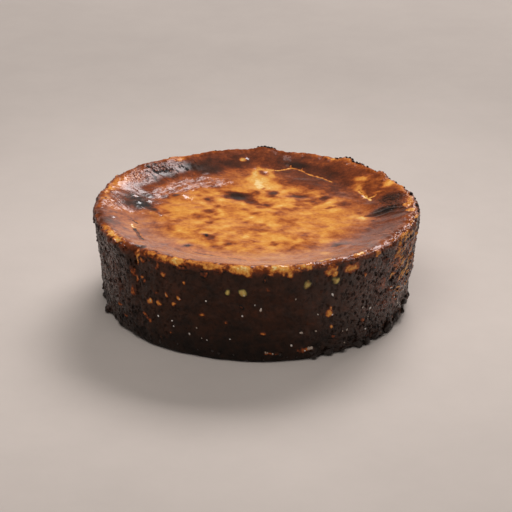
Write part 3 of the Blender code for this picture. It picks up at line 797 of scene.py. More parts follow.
def crack_distance(right, back, points):
    """Distance from each spot to a line of straight runs."""
    nearest = np.full_like(right, 1e9)
    for (x0, y0), (x1, y1) in zip(points[:-1], points[1:]):
        dx, dy = x1 - x0, y1 - y0
        share = np.clip(((right - x0) * dx + (back - y0) * dy) / (dx * dx + dy * dy), 0, 1)
        nearest = np.minimum(nearest, np.hypot(right - x0 - share * dx, back - y0 - share * dy))
    return nearest


def wall_marks():
    """The wall's marks: those that show, then the rest by a seeded draw."""
    draw = random.Random(MARK_SEED)
    marks = list(WALL_MARKS)
    spacing = (HIDDEN_TO - HIDDEN_FROM) / HIDDEN_MARKS
    for number in range(HIDDEN_MARKS):
        bearing = HIDDEN_FROM + spacing * (number + draw.random())
        height = toward(*MARK_HEIGHTS, draw.random() ** MARKS_RAISED)
        half_width = draw.uniform(*MARK_HALF_WIDTHS)
        half_height = draw.uniform(*MARK_HALF_HEIGHTS)
        marks.append((bearing, height, half_width, half_height, draw.uniform(*MARK_BROWNINGS)))
    return marks


MARKS = wall_marks()


def mark_distance(grid, mark):
    """How far each spot of the wall is from a mark's middle, 1 at its edge."""
    bearing, height, half_width, half_height = mark[:4]
    aside = np.radians(bearing_gap(grid.bearing, bearing)) * RIM_RADIUS + grid.shift_aside
    return np.hypot(aside / half_width, (grid.height + grid.shift_up - height) / half_height)


def lay_mark(grid, distance, browning):
    """Notes how far each spot is from the nearest mark, 1 at its edge, and how brown that mark is."""
    nearer = distance < grid.mark_edge
    grid.mark_browning = np.where(nearer, browning, grid.mark_browning)
    grid.mark_edge = np.minimum(distance, grid.mark_edge)


def dulled(grid, shine, rows):
    """The shine, less where the skin stays dull."""
    for half_width, much, points in rows:
        distance = crack_distance(grid.shifted_right, grid.shifted_back, points)
        shine = shine * (1 - much * fade(distance / half_width, DULL_EDGE))
    return shine


def lay_shifts(grid):
    """Small shifts that make the marks' outlines uneven."""
    bend = 0
    for much, size, seeds in BENDS:
        bend = bend + much * np.stack([patches(grid.spots, size, seed) for seed in seeds])
    grid.shifted_right, grid.shifted_back = grid.right + bend[0], grid.back + bend[1]
    grid.cracked_right = grid.right + CRACK_BEND * bend[0]
    grid.cracked_back = grid.back + CRACK_BEND * bend[1]
    grid.shift_aside = layers(grid, ASIDE_WANDER)
    grid.shift_up = layers(grid, UPWARD_WANDER)


def lay_shine(grid):
    """How much each spot shines and how wrinkled it is."""
    on_slope = smooth(grid.radius, *SHINE_EDGE)
    top_shine = toward(read_round(SHINE_ACROSS, grid.radius), read_round(SLOPE_SHINE, grid.bearing), on_slope)
    top_shine = dulled(grid, top_shine, DULL)
    top_shine = top_shine * toward(1, read_round(CREST_ROUND, grid.bearing), smooth(grid.radius, *CREST))
    up_wall = toward(WALL_FOOT_SHINE, 1, smooth(grid.height, *FOOT_DULL_HEIGHTS))
    grid.shine = toward(top_shine, read_round(WALL_ROUND, grid.bearing, 3) * up_wall, grid.wall)
    grid.wrinkled = np.zeros_like(grid.radius)
    for mark in WRINKLED:
        share = soft_share(grid, mark) * (grid.up > WRINKLED_LEAST_UP)
        grid.wrinkled = np.maximum(grid.wrinkled, mark[5] * share)
        grid.shine = np.maximum(grid.shine, mark[6] * share)
    grid.shine = dulled(grid, grid.shine, DULL[:STILL_DULL])
    for mark in BUBBLES:
        share = fade(ellipse(grid.right, grid.back, mark), BUBBLE_EDGE)
        grid.shine = np.maximum(grid.shine, share)
        grid.wrinkled = grid.wrinkled * (1 - share)


def lay_zones(grid):
    """What the relief and the browning both read."""
    grid.spots = np.stack([grid.right, grid.back, grid.height], axis=1)
    lay_shifts(grid)
    grid.olive = np.zeros_like(grid.radius)
    grid.mark_edge = np.full_like(grid.radius, NO_MARK)
    grid.mark_browning = np.full_like(grid.radius, 0.5)
    grid.dashed = soft_marks(grid, DASHED)
    grid.rippled = soft_marks(grid, RIPPLED)
    # A painted sheen: the pale room's reflection on the slope, laid into the colour.
    start, full, fall, end = PAINTED_SHEEN_EDGES
    across = smooth(grid.radius, start, full) * fade(grid.radius, (fall, end)) * (grid.up > 0)
    grid.haze = read_round(PAINTED_SHEEN_ROUND, grid.bearing) * across
    grid.wall = wall_share(grid)
    on_wall = grid.wall * (grid.up < LEATHER_MOST_UP) * smooth(grid.height, *LEATHER_HEIGHTS)
    grid.leather = read_round(WALL_ROUND, grid.bearing, 1) * on_wall
    grid.stringy = read_round(WALL_ROUND, grid.bearing, 2) * grid.wall * smooth(grid.height, *STRINGY_HEIGHTS)
    lay_shine(grid)


# ------------------------------------
# Fine relief.

def pit_cells(grid):
    """How near each spot of the wall is to a pit's middle, and how far it is from the ridges between them."""
    drift = np.stack([patches(grid.spots, PIT_DRIFT_SIZE, seed) for seed in PIT_DRIFT_SEEDS], axis=1)
    spots = grid.spots / (PIT_WIDTH, PIT_WIDTH, PIT_TALL) + PIT_DRIFT * drift
    near = np.zeros(len(spots))
    gap = np.zeros(len(spots))
    for i in np.flatnonzero(grid.leather > LEAST_LEATHER):
        distances = noise.voronoi(Vector(spots[i]))[0]
        near[i], gap[i] = distances[0], distances[1] - distances[0]
    return near, gap


def strand_ridges(grid):
    """1 along the ridges of stringy crust, which run round the wall and climb a little, 0 between them."""
    climb = STRAND_CLIMB * np.radians(grid.bearing) * RIM_RADIUS
    drawn = [grid.right / STRAND_WIDTH, grid.back / STRAND_WIDTH, (grid.height - climb) / STRAND_TALL]
    away = np.abs(patches(np.stack(drawn, axis=1), 1, STRAND_SEED) + layers(grid, STRAND_UNEVEN))
    return np.clip(1 - STRAND_SHARPNESS * away, 0, 1)


def wall_relief(grid):
    """How far the wall's fine relief stands out; lays down its pits and strands too."""
    near, gap = pit_cells(grid)
    kept = patchy(grid, *PIT_PATCHES) * (1 - STRINGY_FEWER_PITS * grid.stringy)
    grid.pit = grid.leather * fade(near, PIT_REACH) * kept
    grid.strand = grid.stringy * strand_ridges(grid)
    net = grid.leather * fade(gap, RIDGE_NET_REACH)
    out = RIDGE_NET * net + STRAND_OUT * grid.strand - PIT_DEPTH * grid.pit
    return out + toward(LEAST_LUMPY, 1, grid.leather) * layers(grid, LUMPS) + layers(grid, GRIT)


def rim_crumble(grid):
    """The crumbly unevenness of the rim's outer edge."""
    edge = smooth(grid.radius, *CRUMBLE_RADII) * smooth(grid.height, *CRUMBLE_HEIGHTS)
    return edge * read_round(RIM_CRUMBLE_ROUND, grid.bearing) * layers(grid, RIM_CRUMBLE)


def skin_relief(grid):
    """Fine unevenness, folds and cracks of the top."""
    wrinkles = np.abs(patches(grid.spots, *WRINKLE_PATCHES))
    rise = layers(grid, SKIN_UNEVEN) - WRINKLE_DEPTH * grid.wrinkled * wrinkles
    for half_width, high, points in FOLDS:
        rise += high * hump(crack_distance(grid.right, grid.back, points) / half_width, LINE_SPREAD)
    for half_width, _, depth, points in CRACKS:
        distance = crack_distance(grid.cracked_right, grid.cracked_back, points)
        rise -= depth * hump(distance / half_width, LINE_SPREAD)
    for mark in BUBBLES:
        rise += mark[5] * hump(ellipse(grid.right, grid.back, mark), 1)
    return rise


# ------------------------------------
# Browning.

def ring_browning(grid, radius):
    """Browning of the top by bearing and by distance from the centre."""
    bearing = bearing_gap(grid.bearing + layers(grid, RING_TURN), 0)
    browning = np.full_like(grid.radius, DISC_BROWNING)
    for column, edges in enumerate(zip((DISC_EDGE,) + RING_RADII, RING_RADII), 1):
        browning = toward(browning, read_round(RINGS_ROUND, bearing, column), smooth(radius, *edges))
    return browning


def lay_cracks(grid):
    """Lays down the cracks' browning, and takes the shine off the dark ones."""
    for half_width, browning, _, points in CRACKS:
        distance = crack_distance(grid.cracked_right, grid.cracked_back, points) + FAR_OFF * (grid.wall > 0.5)
        lay_mark(grid, distance / half_width, browning)
        dark = smooth(browning, *DARK_CRACK) * fade(distance / half_width, (1, 2))
        grid.shine = grid.shine * (1 - DARK_CRACK_DULL * dark)


def lay_rim_patches(grid):
    """Lays down the browning of the rim's gold patches."""
    inward = inward_of_crest(grid) + RIM_WANDER * grid.shift_up
    for at, reach, half_width, half_reach, browning in RIM_PATCHES:
        aside = np.radians(bearing_gap(grid.bearing, at)) * RIM_RADIUS + RIM_WANDER * grid.shift_aside
        lay_mark(grid, np.hypot(aside / half_width, (inward - reach) / half_reach), browning)


def top_browning(grid):
    """Browning of the middle and the rim's inner slope."""
    wander = toward(*RING_WANDER, smooth(grid.radius, *RING_WANDER_RADII))
    radius = grid.radius + wander * patches(grid.spots, *RING_WANDER_PATCHES)
    browning = ring_browning(grid, radius)
    browning = browning + layers(grid, MOTTLES) * toward(1, MOTTLES_LEAST, smooth(radius, *MOTTLES_FADE))
    browning = browning + FRECKLE_BROWNING * fade(radius, FRECKLE_RADII) * patchy(grid, *FRECKLE_PATCHES)
    for mark in WASHES:
        browning = toward(browning, mark[5], mark[6] * soft_share(grid, mark))
    for mark in SPOTS:
        share = fade(ellipse(grid.shifted_right, grid.shifted_back, mark), SPOT_EDGE)
        browning = toward(browning, mark[5], mark[6] * share)
    lay_cracks(grid)
    lay_rim_patches(grid)
    return browning


def lay_bare(grid, share):
    """Takes the painted shade of pits and grooves off a mark of the wall and makes it stand out."""
    grid.soot = grid.soot * (1 - share)
    grid.proud = np.maximum(grid.proud, share)


def wall_browning(grid):
    """Browning of the wall; lays down the painted shade of its pits and grooves and how far its golden marks
    stand out too.
    """
    # Painted sheen: the wall's colour is made paler on the sides, by the last column of the table.
    browning = read_round(WALL_BROWNING, grid.height) - read_round(WALL_ROUND, grid.bearing, 4)
    browning = browning + layers(grid, WALL_MOTTLES)
    high = smooth(grid.height, *HIGH_BROWN_HEIGHTS) * patchy(grid, *HIGH_BROWN_PATCHES)
    browning = toward(browning, HIGH_BROWNING, HIGH_BROWN_SHARE * high)
    golden = smooth(grid.height, *GOLDEN_HEIGHTS) * patchy(grid, *GOLDEN_PATCHES)
    browning = toward(browning, STRAND_BROWNING, golden * smooth(grid.strand, *STRAND_EDGE))
    # Painted shade: the pits and the grooves between the strands are darkened.
    grid.soot = PIT_SHADE * grid.pit + GROOVE_SHADE * grid.stringy * fade(grid.strand, GROOVE_EDGE)
    grid.proud = np.zeros_like(browning)
    for mark in MARKS:
        distance = mark_distance(grid, mark)
        share = fade(distance, WALL_MARK_EDGE)
        pale = max(mark[4] - MARK_BRIGHTER, MARK_LEAST) if mark[4] < MARK_BRIGHT else mark[4]
        lay_mark(grid, distance + FAR_OFF * (grid.wall < 0.5), pale)
        browning = toward(browning, mark[4], MARK_UNDER * share)
        lay_bare(grid, share)
    for mark in OLIVE_MARKS:
        distance = mark_distance(grid, mark)
        lay_mark(grid, distance, OLIVE_BROWNING)
        grid.olive = np.maximum(grid.olive, fade(distance, OLIVE_EDGE))
        lay_bare(grid, fade(distance, OLIVE_EDGE))
    return browning


# ------------------------------------
# The crust's mesh.

def crust_points(grid, fine):
    """Where the relief puts each point, in metres."""
    outer_share = smooth(grid.radius, STILL_RADIUS, FOOT_RADIUS - FOOT_ROUND)
    upper_share = np.minimum(grid.height / CREASE_HEIGHT, 1) ** 2
    radius = grid.radius + outer_share * outward_relief(grid.height, grid.bearing) + fine * grid.out
    height = grid.height + upper_share * upward_relief(grid) + fine * grid.up * (grid.up > 0)
    angle = np.radians(grid.bearing)
    height = np.maximum(height, 0)
    return np.stack([radius * np.sin(angle), -radius * np.cos(angle), height], axis=1) * MM


# What the crust's material reads.
PAINTED = (
    "browning", "soot", "shine", "wrinkled", "leather", "rippled", "stringy", "olive", "dashed", "haze",
    "mark_edge", "mark_browning",
)


def make_crust(material):
    """The whole cake as one closed crust, with its browning, shine and wrinkles."""
    grid = turned_grid()
    lay_zones(grid)
    wall_out = wall_relief(grid)
    browned_wall = wall_browning(grid)
    browned_top = top_browning(grid)
    fade_foot = np.where(grid.up > 0, 1, smooth(grid.height, *FOOT_SMOOTH_HEIGHTS))
    wall_out = wall_out + MARK_PROUD * grid.proud
    fine = toward(skin_relief(grid) * (grid.up > 0), wall_out, grid.wall) + rim_crumble(grid)
    mesh = bpy.data.meshes.new("cheesecake_crust")
    points = crust_points(grid, fine * fade_foot)
    mesh.from_pydata(points.tolist(), [], grid.faces)
    mesh.shade_smooth()
    grid.browning = np.clip(toward(browned_top, browned_wall, grid.wall), 0, 1)
    grid.soot = grid.soot * grid.wall
    for name in PAINTED:
        paint(mesh, name, getattr(grid, name))
    mesh.materials.append(material)
    crust = bpy.data.objects.new("cheesecake_crust", mesh)
    bpy.context.scene.collection.objects.link(crust)
    return crust


# ------------------------------------
# Small pieces on the crust: charred nodules, and glossy beads painted pale as glints.

# Charred nodules that show: bearing, height, half width.
SHOWN_NODULES = (
    (146, 60.8, 0.9), (144.6, 61, 1.2), (143.2, 61.2, 1.3), (141.8, 61.2, 1.3), (140.4, 61.1, 1.2),
    (139, 60.9, 1.1), (137.4, 60.9, 1.2), (136, 60.8, 1.1), (134.4, 60.8, 1.1), (131.7, 60.8, 1),
    (126, 61, 0.9), (124.6, 61.2, 1.2), (123.2, 61.1, 1.1), (118, 60.4, 0.8), (113.5, 60.6, 1),
    (108, 60.8, 0.9), (101.3, 61.2, 1.2), (97, 61, 0.9), (91, 61.2, 1.2), (86, 60.8, 0.9), (179, 60.9, 1),
    (177.7, 61.1, 1.2), (176.3, 61.2, 1.3), (175, 61.1, 1.3), (173.7, 61, 1.1), (172.5, 60.7, 0.9),
    (-172, 60.4, 0.8), (-72, 1.8, 1.3), (-75, 3, 0.9), (-79, 12, 0.9), (-66, 1.8, 1.2), (28.5, 2.4, 2.6),
    (22, 2.2, 1.8), (34, 2.6, 2), (41, 2.6, 2.6), (45.5, 2.4, 2.8), (50, 2.8, 2.4), (54, 2.6, 2.7),
    (58, 2.8, 3), (63, 3.2, 2.6), (67, 3.6, 2.6), (71.5, 4.6, 2.8), (76, 7, 2.2), (80, 9.5, 1.8),
)
# Seeded nodules: how many, bearings, heights, half widths.
NODULE_BANDS = (
    (14, (72, 182), (59.4, 60.6), (0.4, 0.7)), (16, (182, 268), (59, 60.4), (0.4, 0.7)),
    (64, (82, 280), (1.5, 7), (1, 2.6)), (16, (20, 84), (1.5, 9), (0.6, 1.5)),
    (130, (40, 130), (6, 58), (0.35, 0.85)), (60, (130, 250), (6, 58), (0.35, 0.8)),
    (110, (-112, -50), (4, 58), (0.35, 0.85)), (14, (-50, 20), (1.5, 7), (0.5, 1.2)),
)
NODULE_SEED = 31
# Glossy beads that show, painted pale as glints: bearing, height, half width.
SHOWN_BEADS = (
    (-36, 22.5, 0.62), (-30.3, 21.8, 0.47), (-29.9, 18.2, 0.47), (-23.7, 15.2, 0.62), (-20.7, 20.6, 0.47),
    (-19, 13.8, 0.31), (-17, 13, 0.39), (-16.8, 39.6, 0.55), (0.3, 39.2, 0.39), (2.3, 36, 0.9),
    (-4, 31.8, 0.55), (-3.4, 45.8, 0.47), (14.2, 42.6, 0.55), (28, 41.5, 0.78), (22.8, 30, 0.47),
    (16.9, 19.2, 0.85), (22.5, 18.8, 0.55), (13.5, 11.3, 0.75), (4.3, 7.2, 0.65), (5, 7.1, 0.5),
    (6.9, 6.5, 0.47), (18.6, 6.8, 0.55), (20.2, 7.7, 1), (21.2, 7.9, 0.9), (42, 26.6, 0.62),
    (46.4, 23.5, 0.78), (45.7, 18, 0.55), (35.8, 14, 0.7), (33.8, 14.4, 0.39), (44.5, 10.8, 0.62),
    (35, 6, 0.62), (28.6, 27.8, 0.55), (57, 30.8, 0.7), (65, 15, 0.78), (70, 20, 0.78), (62, 21, 0.55),
    (67, 11, 0.55), (-38.8, 31.6, 0.47), (-32, 38.8, 0.39), (-26.6, 37.8, 0.39), (-8.5, 15.5, 0.39),
)
# Seeded beads of the hidden part: how many, bearings, heights, half widths.
BEAD_BAND = (34, (84, 280), (6, 46), (0.3, 0.75))
BEAD_SEED = 5
# How uneven and how flat they are, how much longer than wide, and the noise that shapes them: share, scale.
NODULE_SHAPE = (0.4, 0.7)
BEAD_SHAPE = (0.5, 0.55)
LUMP_LENGTHS = (0.9, 1.35)
LUMP_NOISE = ((1, 1.1), (0.5, 2.6))
# How far off each one's noise is read; how finely small, middling and large ones are divided, and the
# half widths past which they are middling and large.
LUMP_NOISE_REACH = 50
LUMP_DIVISIONS = (2, 3, 4)
FINER_PAST = (0.8, 1.7)
# No lump sits nearer the middle than this.
LUMPS_LEAST_RADIUS = 46


def unit_ball(divisions):
    """Points and faces of a round ball of radius 1."""
    shape = bmesh.new()
    bmesh.ops.create_icosphere(shape, subdivisions=divisions, radius=1)
    points = [point.co.copy() for point in shape.verts]
    faces = [[point.index for point in face.verts] for face in shape.faces]
    shape.free()
    return points, faces


def seeded_spots(draw, band):
    """Bearings, heights and half widths drawn over a band of the wall."""
    number, bearings, heights, half_widths = band
    step = (bearings[1] - bearings[0]) / number
    for count in range(number):
        bearing = bearings[0] + step * (count + draw.random())
        share = draw.random() ** 2
        yield bearing, draw.uniform(*heights), toward(half_widths[0], half_widths[1], share)


def join_lumps(name, crust, spots, shape, draw, material):
    """One mesh of uneven lumps, each set into the crust at its bearing and height."""
    surface = BVHTree.FromObject(crust, bpy.context.evaluated_depsgraph_get())
    balls = [unit_ball(divisions) for divisions in LUMP_DIVISIONS]
    points, faces = [], []
    uneven, flat = shape
    for bearing, height, half_width in spots:
        angle = math.radians(bearing)
        outward = Vector((math.sin(angle), -math.cos(angle), 0))
        start = outward * RIM_RADIUS * 2 + Vector((0, 0, height))
        place, facing, _, _ = surface.ray_cast(start * MM, -outward)
        if place is None or place.dot(outward) < LUMPS_LEAST_RADIUS * MM:
            continue
        turn = facing.to_track_quat("Z", "Y") @ Quaternion((0, 0, 1), draw.uniform(0, math.tau))
        own = Vector([draw.uniform(-LUMP_NOISE_REACH, LUMP_NOISE_REACH) for _ in range(3)])
        long = draw.uniform(*LUMP_LENGTHS)
        ball_points, ball_faces = balls[sum(half_width > past for past in FINER_PAST)]
        first = len(points)
        for point in ball_points:
            rough = sum(share * noise.noise(point * scale + own) for share, scale in LUMP_NOISE)
            swell = 1 + uneven * rough
            shaped = Vector((point.x * long, point.y / long, point.z * flat)) * (swell * half_width * MM)
            spot = place + turn @ shaped
            points.append((spot.x, spot.y, max(spot.z, 0)))
        faces += [[first + corner for corner in face] for face in ball_faces]
    mesh = bpy.data.meshes.new(name)
    mesh.from_pydata(points, [], faces)
    mesh.shade_smooth()
    mesh.materials.append(material)
    lumps = bpy.data.objects.new(name, mesh)
    bpy.context.scene.collection.objects.link(lumps)
    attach(lumps, "root")


def make_nodules(crust, material):
    """Charred nodules on the rim's outer edge, the wall and the foot."""
    draw = random.Random(NODULE_SEED)
    spots = list(SHOWN_NODULES)
    for band in NODULE_BANDS:
        spots += seeded_spots(draw, band)
    join_lumps("char_nodules", crust, spots, NODULE_SHAPE, draw, material)


def make_beads(crust, material):
    """Glossy beads on the wall, painted pale as glints."""
    draw = random.Random(BEAD_SEED)
    spots = list(SHOWN_BEADS)
    spots += seeded_spots(draw, BEAD_BAND)
    join_lumps("glint_beads", crust, spots, BEAD_SHAPE, draw, material)


def paint(mesh, name, values):
    """One value for each point of the mesh, for the material to read."""
    layer = mesh.attributes.new(name, "FLOAT", "POINT")
    layer.data.foreach_set("value", np.asarray(values, dtype=np.float32))


# ------------------------------------
# Materials.

# Browning and the colour it bakes to, as linear red, green and blue.
BAKED_COLOURS = (
    (0, (0.92, 0.66, 0.31)),
    (0.05, (0.87, 0.585, 0.21)),
    (0.12, (0.81, 0.41, 0.090)),
    (0.26, (0.73, 0.295, 0.052)),
    (0.40, (0.57, 0.185, 0.037)),
    (0.52, (0.39, 0.098, 0.020)),
    (0.64, (0.20, 0.044, 0.013)),
    (0.76, (0.105, 0.026, 0.010)),
    (0.86, (0.045, 0.016, 0.008)),
    (0.94, (0.018, 0.009, 0.006)),
    (1.00, (0.007, 0.005, 0.004)),
)
# Broad and fine mottling, the broad one's scale beside the fine one's, and the browning where it calms down.
BROAD_MOTTLE = 0.6
FINE_MOTTLE = 0.9
BROAD_MOTTLE_SCALE = 0.3
MOTTLE_CALM = (1, 0.6)
# The near-black of the painted shade in the pits and grooves.
RECESS_SHADE_COLOUR = (0.006, 0.0045, 0.004, 1)
# Painted glints: the beads' colours, from brown up to a pale near-white.
GLINT_BEAD_COLOURS = ((0.3, (0.30, 0.20, 0.13)), (0.47, (0.52, 0.43, 0.36)), (0.62, (0.80, 0.73, 0.68)))
# The fine pits of the leather: how they are squeezed along each axis, and how far they drift, in metres.
FINE_PIT_SQUEEZE = (1, 1, 0.72)
FINE_PIT_DRIFT = (2.4 * MM, 2.4 * MM, 2.4 * MM)
FINE_PIT_FLOOR = 0.18
# The skin: its roughness, how much smoother its gloss is, the grain's share, and the relief of its bumps.
SKIN_ROUGHNESS = 0.46
GLOSS_SMOOTHER = 0.15
GRAIN_ROUGHER = 0.2
SKIN_BUMP = 0.35 * MM
CHAR_BUMP = 0.4 * MM
BEAD_BUMP = 0.1 * MM
GRAIN_MIDDLE = 0.46
# Heights of the skin's patterns in its bumps.
SKIN_GRAIN_BUMP = 0.12
WRINKLE_BUMP = 1.5
FINE_BUMP = 0.5
RIDGE_BUMP = 2.6
DASH_BUMP = -0.8
STRAND_BUMP = 2.0
LEATHER_BUMP = 3.6
FINE_PIT_BUMP = -2.8
# How much painted shade darkens the fine pits.
FINE_PIT_SHADE = 0.9
# Marks, by distance from their middle, 1 at their edge: how much that wobbles; where they start and are
# full; between where they get browner outwards, and how much; how mottled they are.
MARK_WOBBLE = 1.6
MARK_SHOWN = (1.3, 0.8)
MARK_OUTWARD = (0.3, 1.25)
MARK_EDGE_BROWNER = 0.42
MARK_MOTTLE = 0.7
OLIVE_FILM = (1.25, 0.3)
OLIVE_MOTTLE = 1.8
# Levels of noise between which the patterns start and are full.
FINE_STRAND = (0.042, 0.016)
GOLDEN_STRAND = (0.40, 0.56)
DASH = (0.44, 0.38)
DRY_SPECK = (0.53, 0.59)
DRY_RIPPLE = (0.60, 0.51)
SATIN_SPECK = (0.53, 0.46)
# Browning of the strands, plain and golden; how much browner the dashes and the wrinkled skin's specks are.
STRAND_BROWN = 0.70
STRAND_GOLD = 0.20
DASH_BROWNER = 0.30
SPECK_MIDDLE = 0.25
SPECK_BROWNER = 1.1
# How much gloss the marks and the specks of the leather lose.
MARK_SATIN = 0.6
SPECK_SATIN = 0.4


class Level:
    """What a node puts out; it can be added to, taken away and multiplied like a number."""

    def __init__(self, tree, node, output):
        self.tree = tree
        self.node = node
        self.socket = node.outputs[output]

    def maths(self, operation, *values, clamp=False):
        """The outcome of a maths node."""
        return add_node(self.tree, "Math", 0, dict(enumerate(values)), operation=operation, use_clamp=clamp)

    def __add__(self, other):
        return self.maths("ADD", self, other)

    def __sub__(self, other):
        return self.maths("SUBTRACT", self, other)

    def __rsub__(self, other):
        return self.maths("SUBTRACT", other, self)

    def __mul__(self, other):
        return self.maths("MULTIPLY", self, other)

    def most(self, other):
        """The larger of the two."""
        return self.maths("MAXIMUM", self, other)

    def clamped(self):
        """Kept between 0 and 1."""
        return self.maths("ADD", self, 0, clamp=True)

    def step(self, low, high):
        """0 at low, 1 at high and an even curve between them, either way round."""
        ends = {"Value": self, "From Min": low, "From Max": high}
        return add_node(self.tree, "MapRange", "Result", ends, interpolation_type="SMOOTHSTEP")


def feed(socket, value):
    """Gives a socket a plain value, or a level to follow."""
    if isinstance(value, Level):
        value.tree.links.new(value.socket, socket)
    else:
        socket.default_value = value


def add_node(tree, kind, output, inputs, **settings):
    """A node with these settings and inputs; returns the level of one of its outputs."""
    node = tree.nodes.new("ShaderNode" + kind)
    for name, value in settings.items():
        setattr(node, name, value)
    for name, value in inputs.items():
        feed(node.inputs[name], value)
    return Level(tree, node, output)


def shader_group(name, inputs, outputs):
    """An empty shader node group: its tree, the levels of its inputs and the sockets of its outputs."""
    tree = bpy.data.node_groups.new(name, "ShaderNodeTree")
    for socket, default in inputs.items():
        made = tree.interface.new_socket(socket, in_out="INPUT", socket_type="NodeSocketFloat")
        made.default_value = default
    for socket, kind in outputs.items():
        tree.interface.new_socket(socket, in_out="OUTPUT", socket_type=kind)
    start = tree.nodes.new("NodeGroupInput")
    end = tree.nodes.new("NodeGroupOutput")
    return tree, [Level(tree, start, socket) for socket in inputs], end.inputs


def place_group(tree, group, **values):
    """Puts a node group in a material with its own values; returns the levels that it puts out."""
    node = tree.nodes.new("ShaderNodeGroup")
    node.node_tree = group
    for name, value in values.items():
        feed(node.inputs[name.replace("_", " ")], value)
    return SimpleNamespace(**{out.name.lower(): Level(tree, node, out.name) for out in node.outputs})


def own_place(tree):
    """A spot's own coordinates in the object, in metres."""
    return add_node(tree, "TexCoord", "Object", {})


def drawn_out(tree, length, turn):
    """The object's own coordinates, turned by these degrees and drawn out along the first axis."""
    angles = [math.radians(angle) for angle in turn]
    inputs = {"Vector": own_place(tree), "Rotation": angles, "Scale": (length, 1, 1)}
    return add_node(tree, "Mapping", "Vector", inputs, vector_type="TEXTURE")


def noise_level(tree, scale, detail=2, roughness=0.5, length=1, turn=(0, 0, 0)):
    """Noise over the object; scale counts patches in a metre, and length draws them out."""
    place = own_place(tree) if length == 1 else drawn_out(tree, length, turn)
    inputs = {"Vector": place, "Scale": scale, "Detail": detail, "Roughness": roughness}
    return add_node(tree, "TexNoise", "Fac", inputs)


def ridge_level(tree, ridges, turn):
    """Wavy ridges with a gentle rise one way and a steep fall, 0 to 1; so many of them in a metre."""
    inputs = {"Vector": drawn_out(tree, 1, (0, 0, turn)), "Scale": ridges * math.tau / 20}
    inputs.update({"Distortion": 5, "Detail": 2, "Detail Scale": 1.2})
    return add_node(tree, "TexWave", "Fac", inputs, wave_profile="SAW")


def colour_ramp(level, stops):
    """Colours by level, even between the stops."""
    ramp = add_node(level.tree, "ValToRGB", "Color", {"Fac": level})
    points = ramp.node.color_ramp.elements
    while len(points) < len(stops):
        points.new(0.5)
    for point, (place, colour) in zip(points, stops):
        point.position = place
        point.color = (*colour, 1)
    return ramp


def mixed(first, second, share):
    """The first colour, turned into the second by a share."""
    inputs = {"Factor": share, "A": first, "B": second}
    return add_node(first.tree, "Mix", "Result", inputs, data_type="RGBA")


def bump(height, distance):
    """The direction that a surface with this relief faces."""
    return add_node(height.tree, "Bump", "Normal", {"Height": height, "Distance": distance})


def painted(tree, name):
    """One of the crust's painted values."""
    return add_node(tree, "Attribute", "Fac", {}, attribute_name=name)


def new_material(name):
    """A material and its tree."""
    material = bpy.data.materials.new(name)
    material.use_nodes = True
    return material, material.node_tree


def set_shader(material, inputs):
    """Feeds the material's own shader; returns the material."""
    shader = material.node_tree.nodes["Principled BSDF"]
    for name, value in inputs.items():
        feed(shader.inputs[name], value)
    return material


def browning_group():
    """Turns browning into the colour it bakes to, with fine mottling."""
    inputs = {"Browning": 0.5, "Mottle": 0.1, "Mottle Scale": 500}
    tree, (browning, mottle, scale), end = shader_group("browning", inputs, {"Color": "NodeSocketColor"})
    fine = noise_level(tree, scale, detail=3, roughness=0.65)
    broad = noise_level(tree, scale * BROAD_MOTTLE_SCALE)
    speck = (broad - 0.5) * BROAD_MOTTLE + (fine - 0.5) * FINE_MOTTLE
    calm = browning.step(*MOTTLE_CALM)
    feed(end["Color"], colour_ramp((browning + speck * calm * mottle).clamped(), BAKED_COLOURS))
    return tree


def grain_group():
    """Fine baked grain, as a height and as a mask, both 0 to 1."""
    outputs = {"Height": "NodeSocketFloat", "Mask": "NodeSocketFloat"}
    tree, (scale, sharpness), end = shader_group("baked_grain", {"Scale": 900, "Sharpness": 1.0}, outputs)
    soft = noise_level(tree, scale, roughness=0.55)
    feed(end["Height"], soft.maths("POWER", soft, sharpness))
    feed(end["Mask"], soft)
    return tree


def pits_group():
    """Small pits of uneven size, as a mask from 0 to 1."""
    inputs = {"Scale": 300, "Rim": 0.45, "Share": 0.7}
    tree, (scale, rim, share), end = shader_group("crust_pits", inputs, {"Mask": "NodeSocketFloat"})
    place = own_place(tree)
    squeezed = add_node(tree, "Mapping", "Vector", {"Vector": place, "Scale": FINE_PIT_SQUEEZE})
    drift = add_node(tree, "TexNoise", "Color", {"Vector": place, "Scale": 420})
    inputs = {0: drift, 1: FINE_PIT_DRIFT, 2: squeezed}
    moved = add_node(tree, "VectorMath", "Vector", inputs, operation="MULTIPLY_ADD")
    cells = add_node(tree, "TexVoronoi", "Distance", {"Vector": moved, "Scale": scale})
    chance = add_node(tree, "SeparateXYZ", "X", {"Vector": Level(tree, cells.node, "Color")})
    feed(end["Mask"], cells.step(rim, FINE_PIT_FLOOR) * chance.maths("LESS_THAN", chance, share))
    return tree


def crust_patterns(tree, grain, pits):
    """The crust's painted values, and the fine patterns that its colour, gloss and relief share."""
    skin = SimpleNamespace(**{name: painted(tree, name) for name in PAINTED})
    skin.fine = place_group(tree, grain, Scale=1350, Sharpness=1.0)
    skin.coarse = place_group(tree, grain, Scale=520, Sharpness=1.3)
    skin.specks = place_group(tree, grain, Scale=900, Sharpness=1.0)
    skin.edge = skin.mark_edge + (noise_level(tree, 340, detail=3, roughness=0.55) - 0.5) * MARK_WOBBLE
    skin.shown = skin.edge.step(*MARK_SHOWN)
    string = noise_level(tree, 170, detail=3, roughness=0.55, length=STRAND_LENGTH, turn=STRAND_TURN) - 0.5
    skin.strand = string.maths("ABSOLUTE", string).step(*FINE_STRAND) * skin.stringy
    dashes = noise_level(tree, 420, length=DASH_LENGTH, turn=DASH_TURN)
    skin.dash = dashes.step(*DASH) * skin.dashed
    fine_pits = place_group(tree, pits, Scale=420, Rim=0.52, Share=0.8)
    skin.pitted = fine_pits.mask * skin.leather * (1 - skin.shown.most(skin.strand))
    return skin


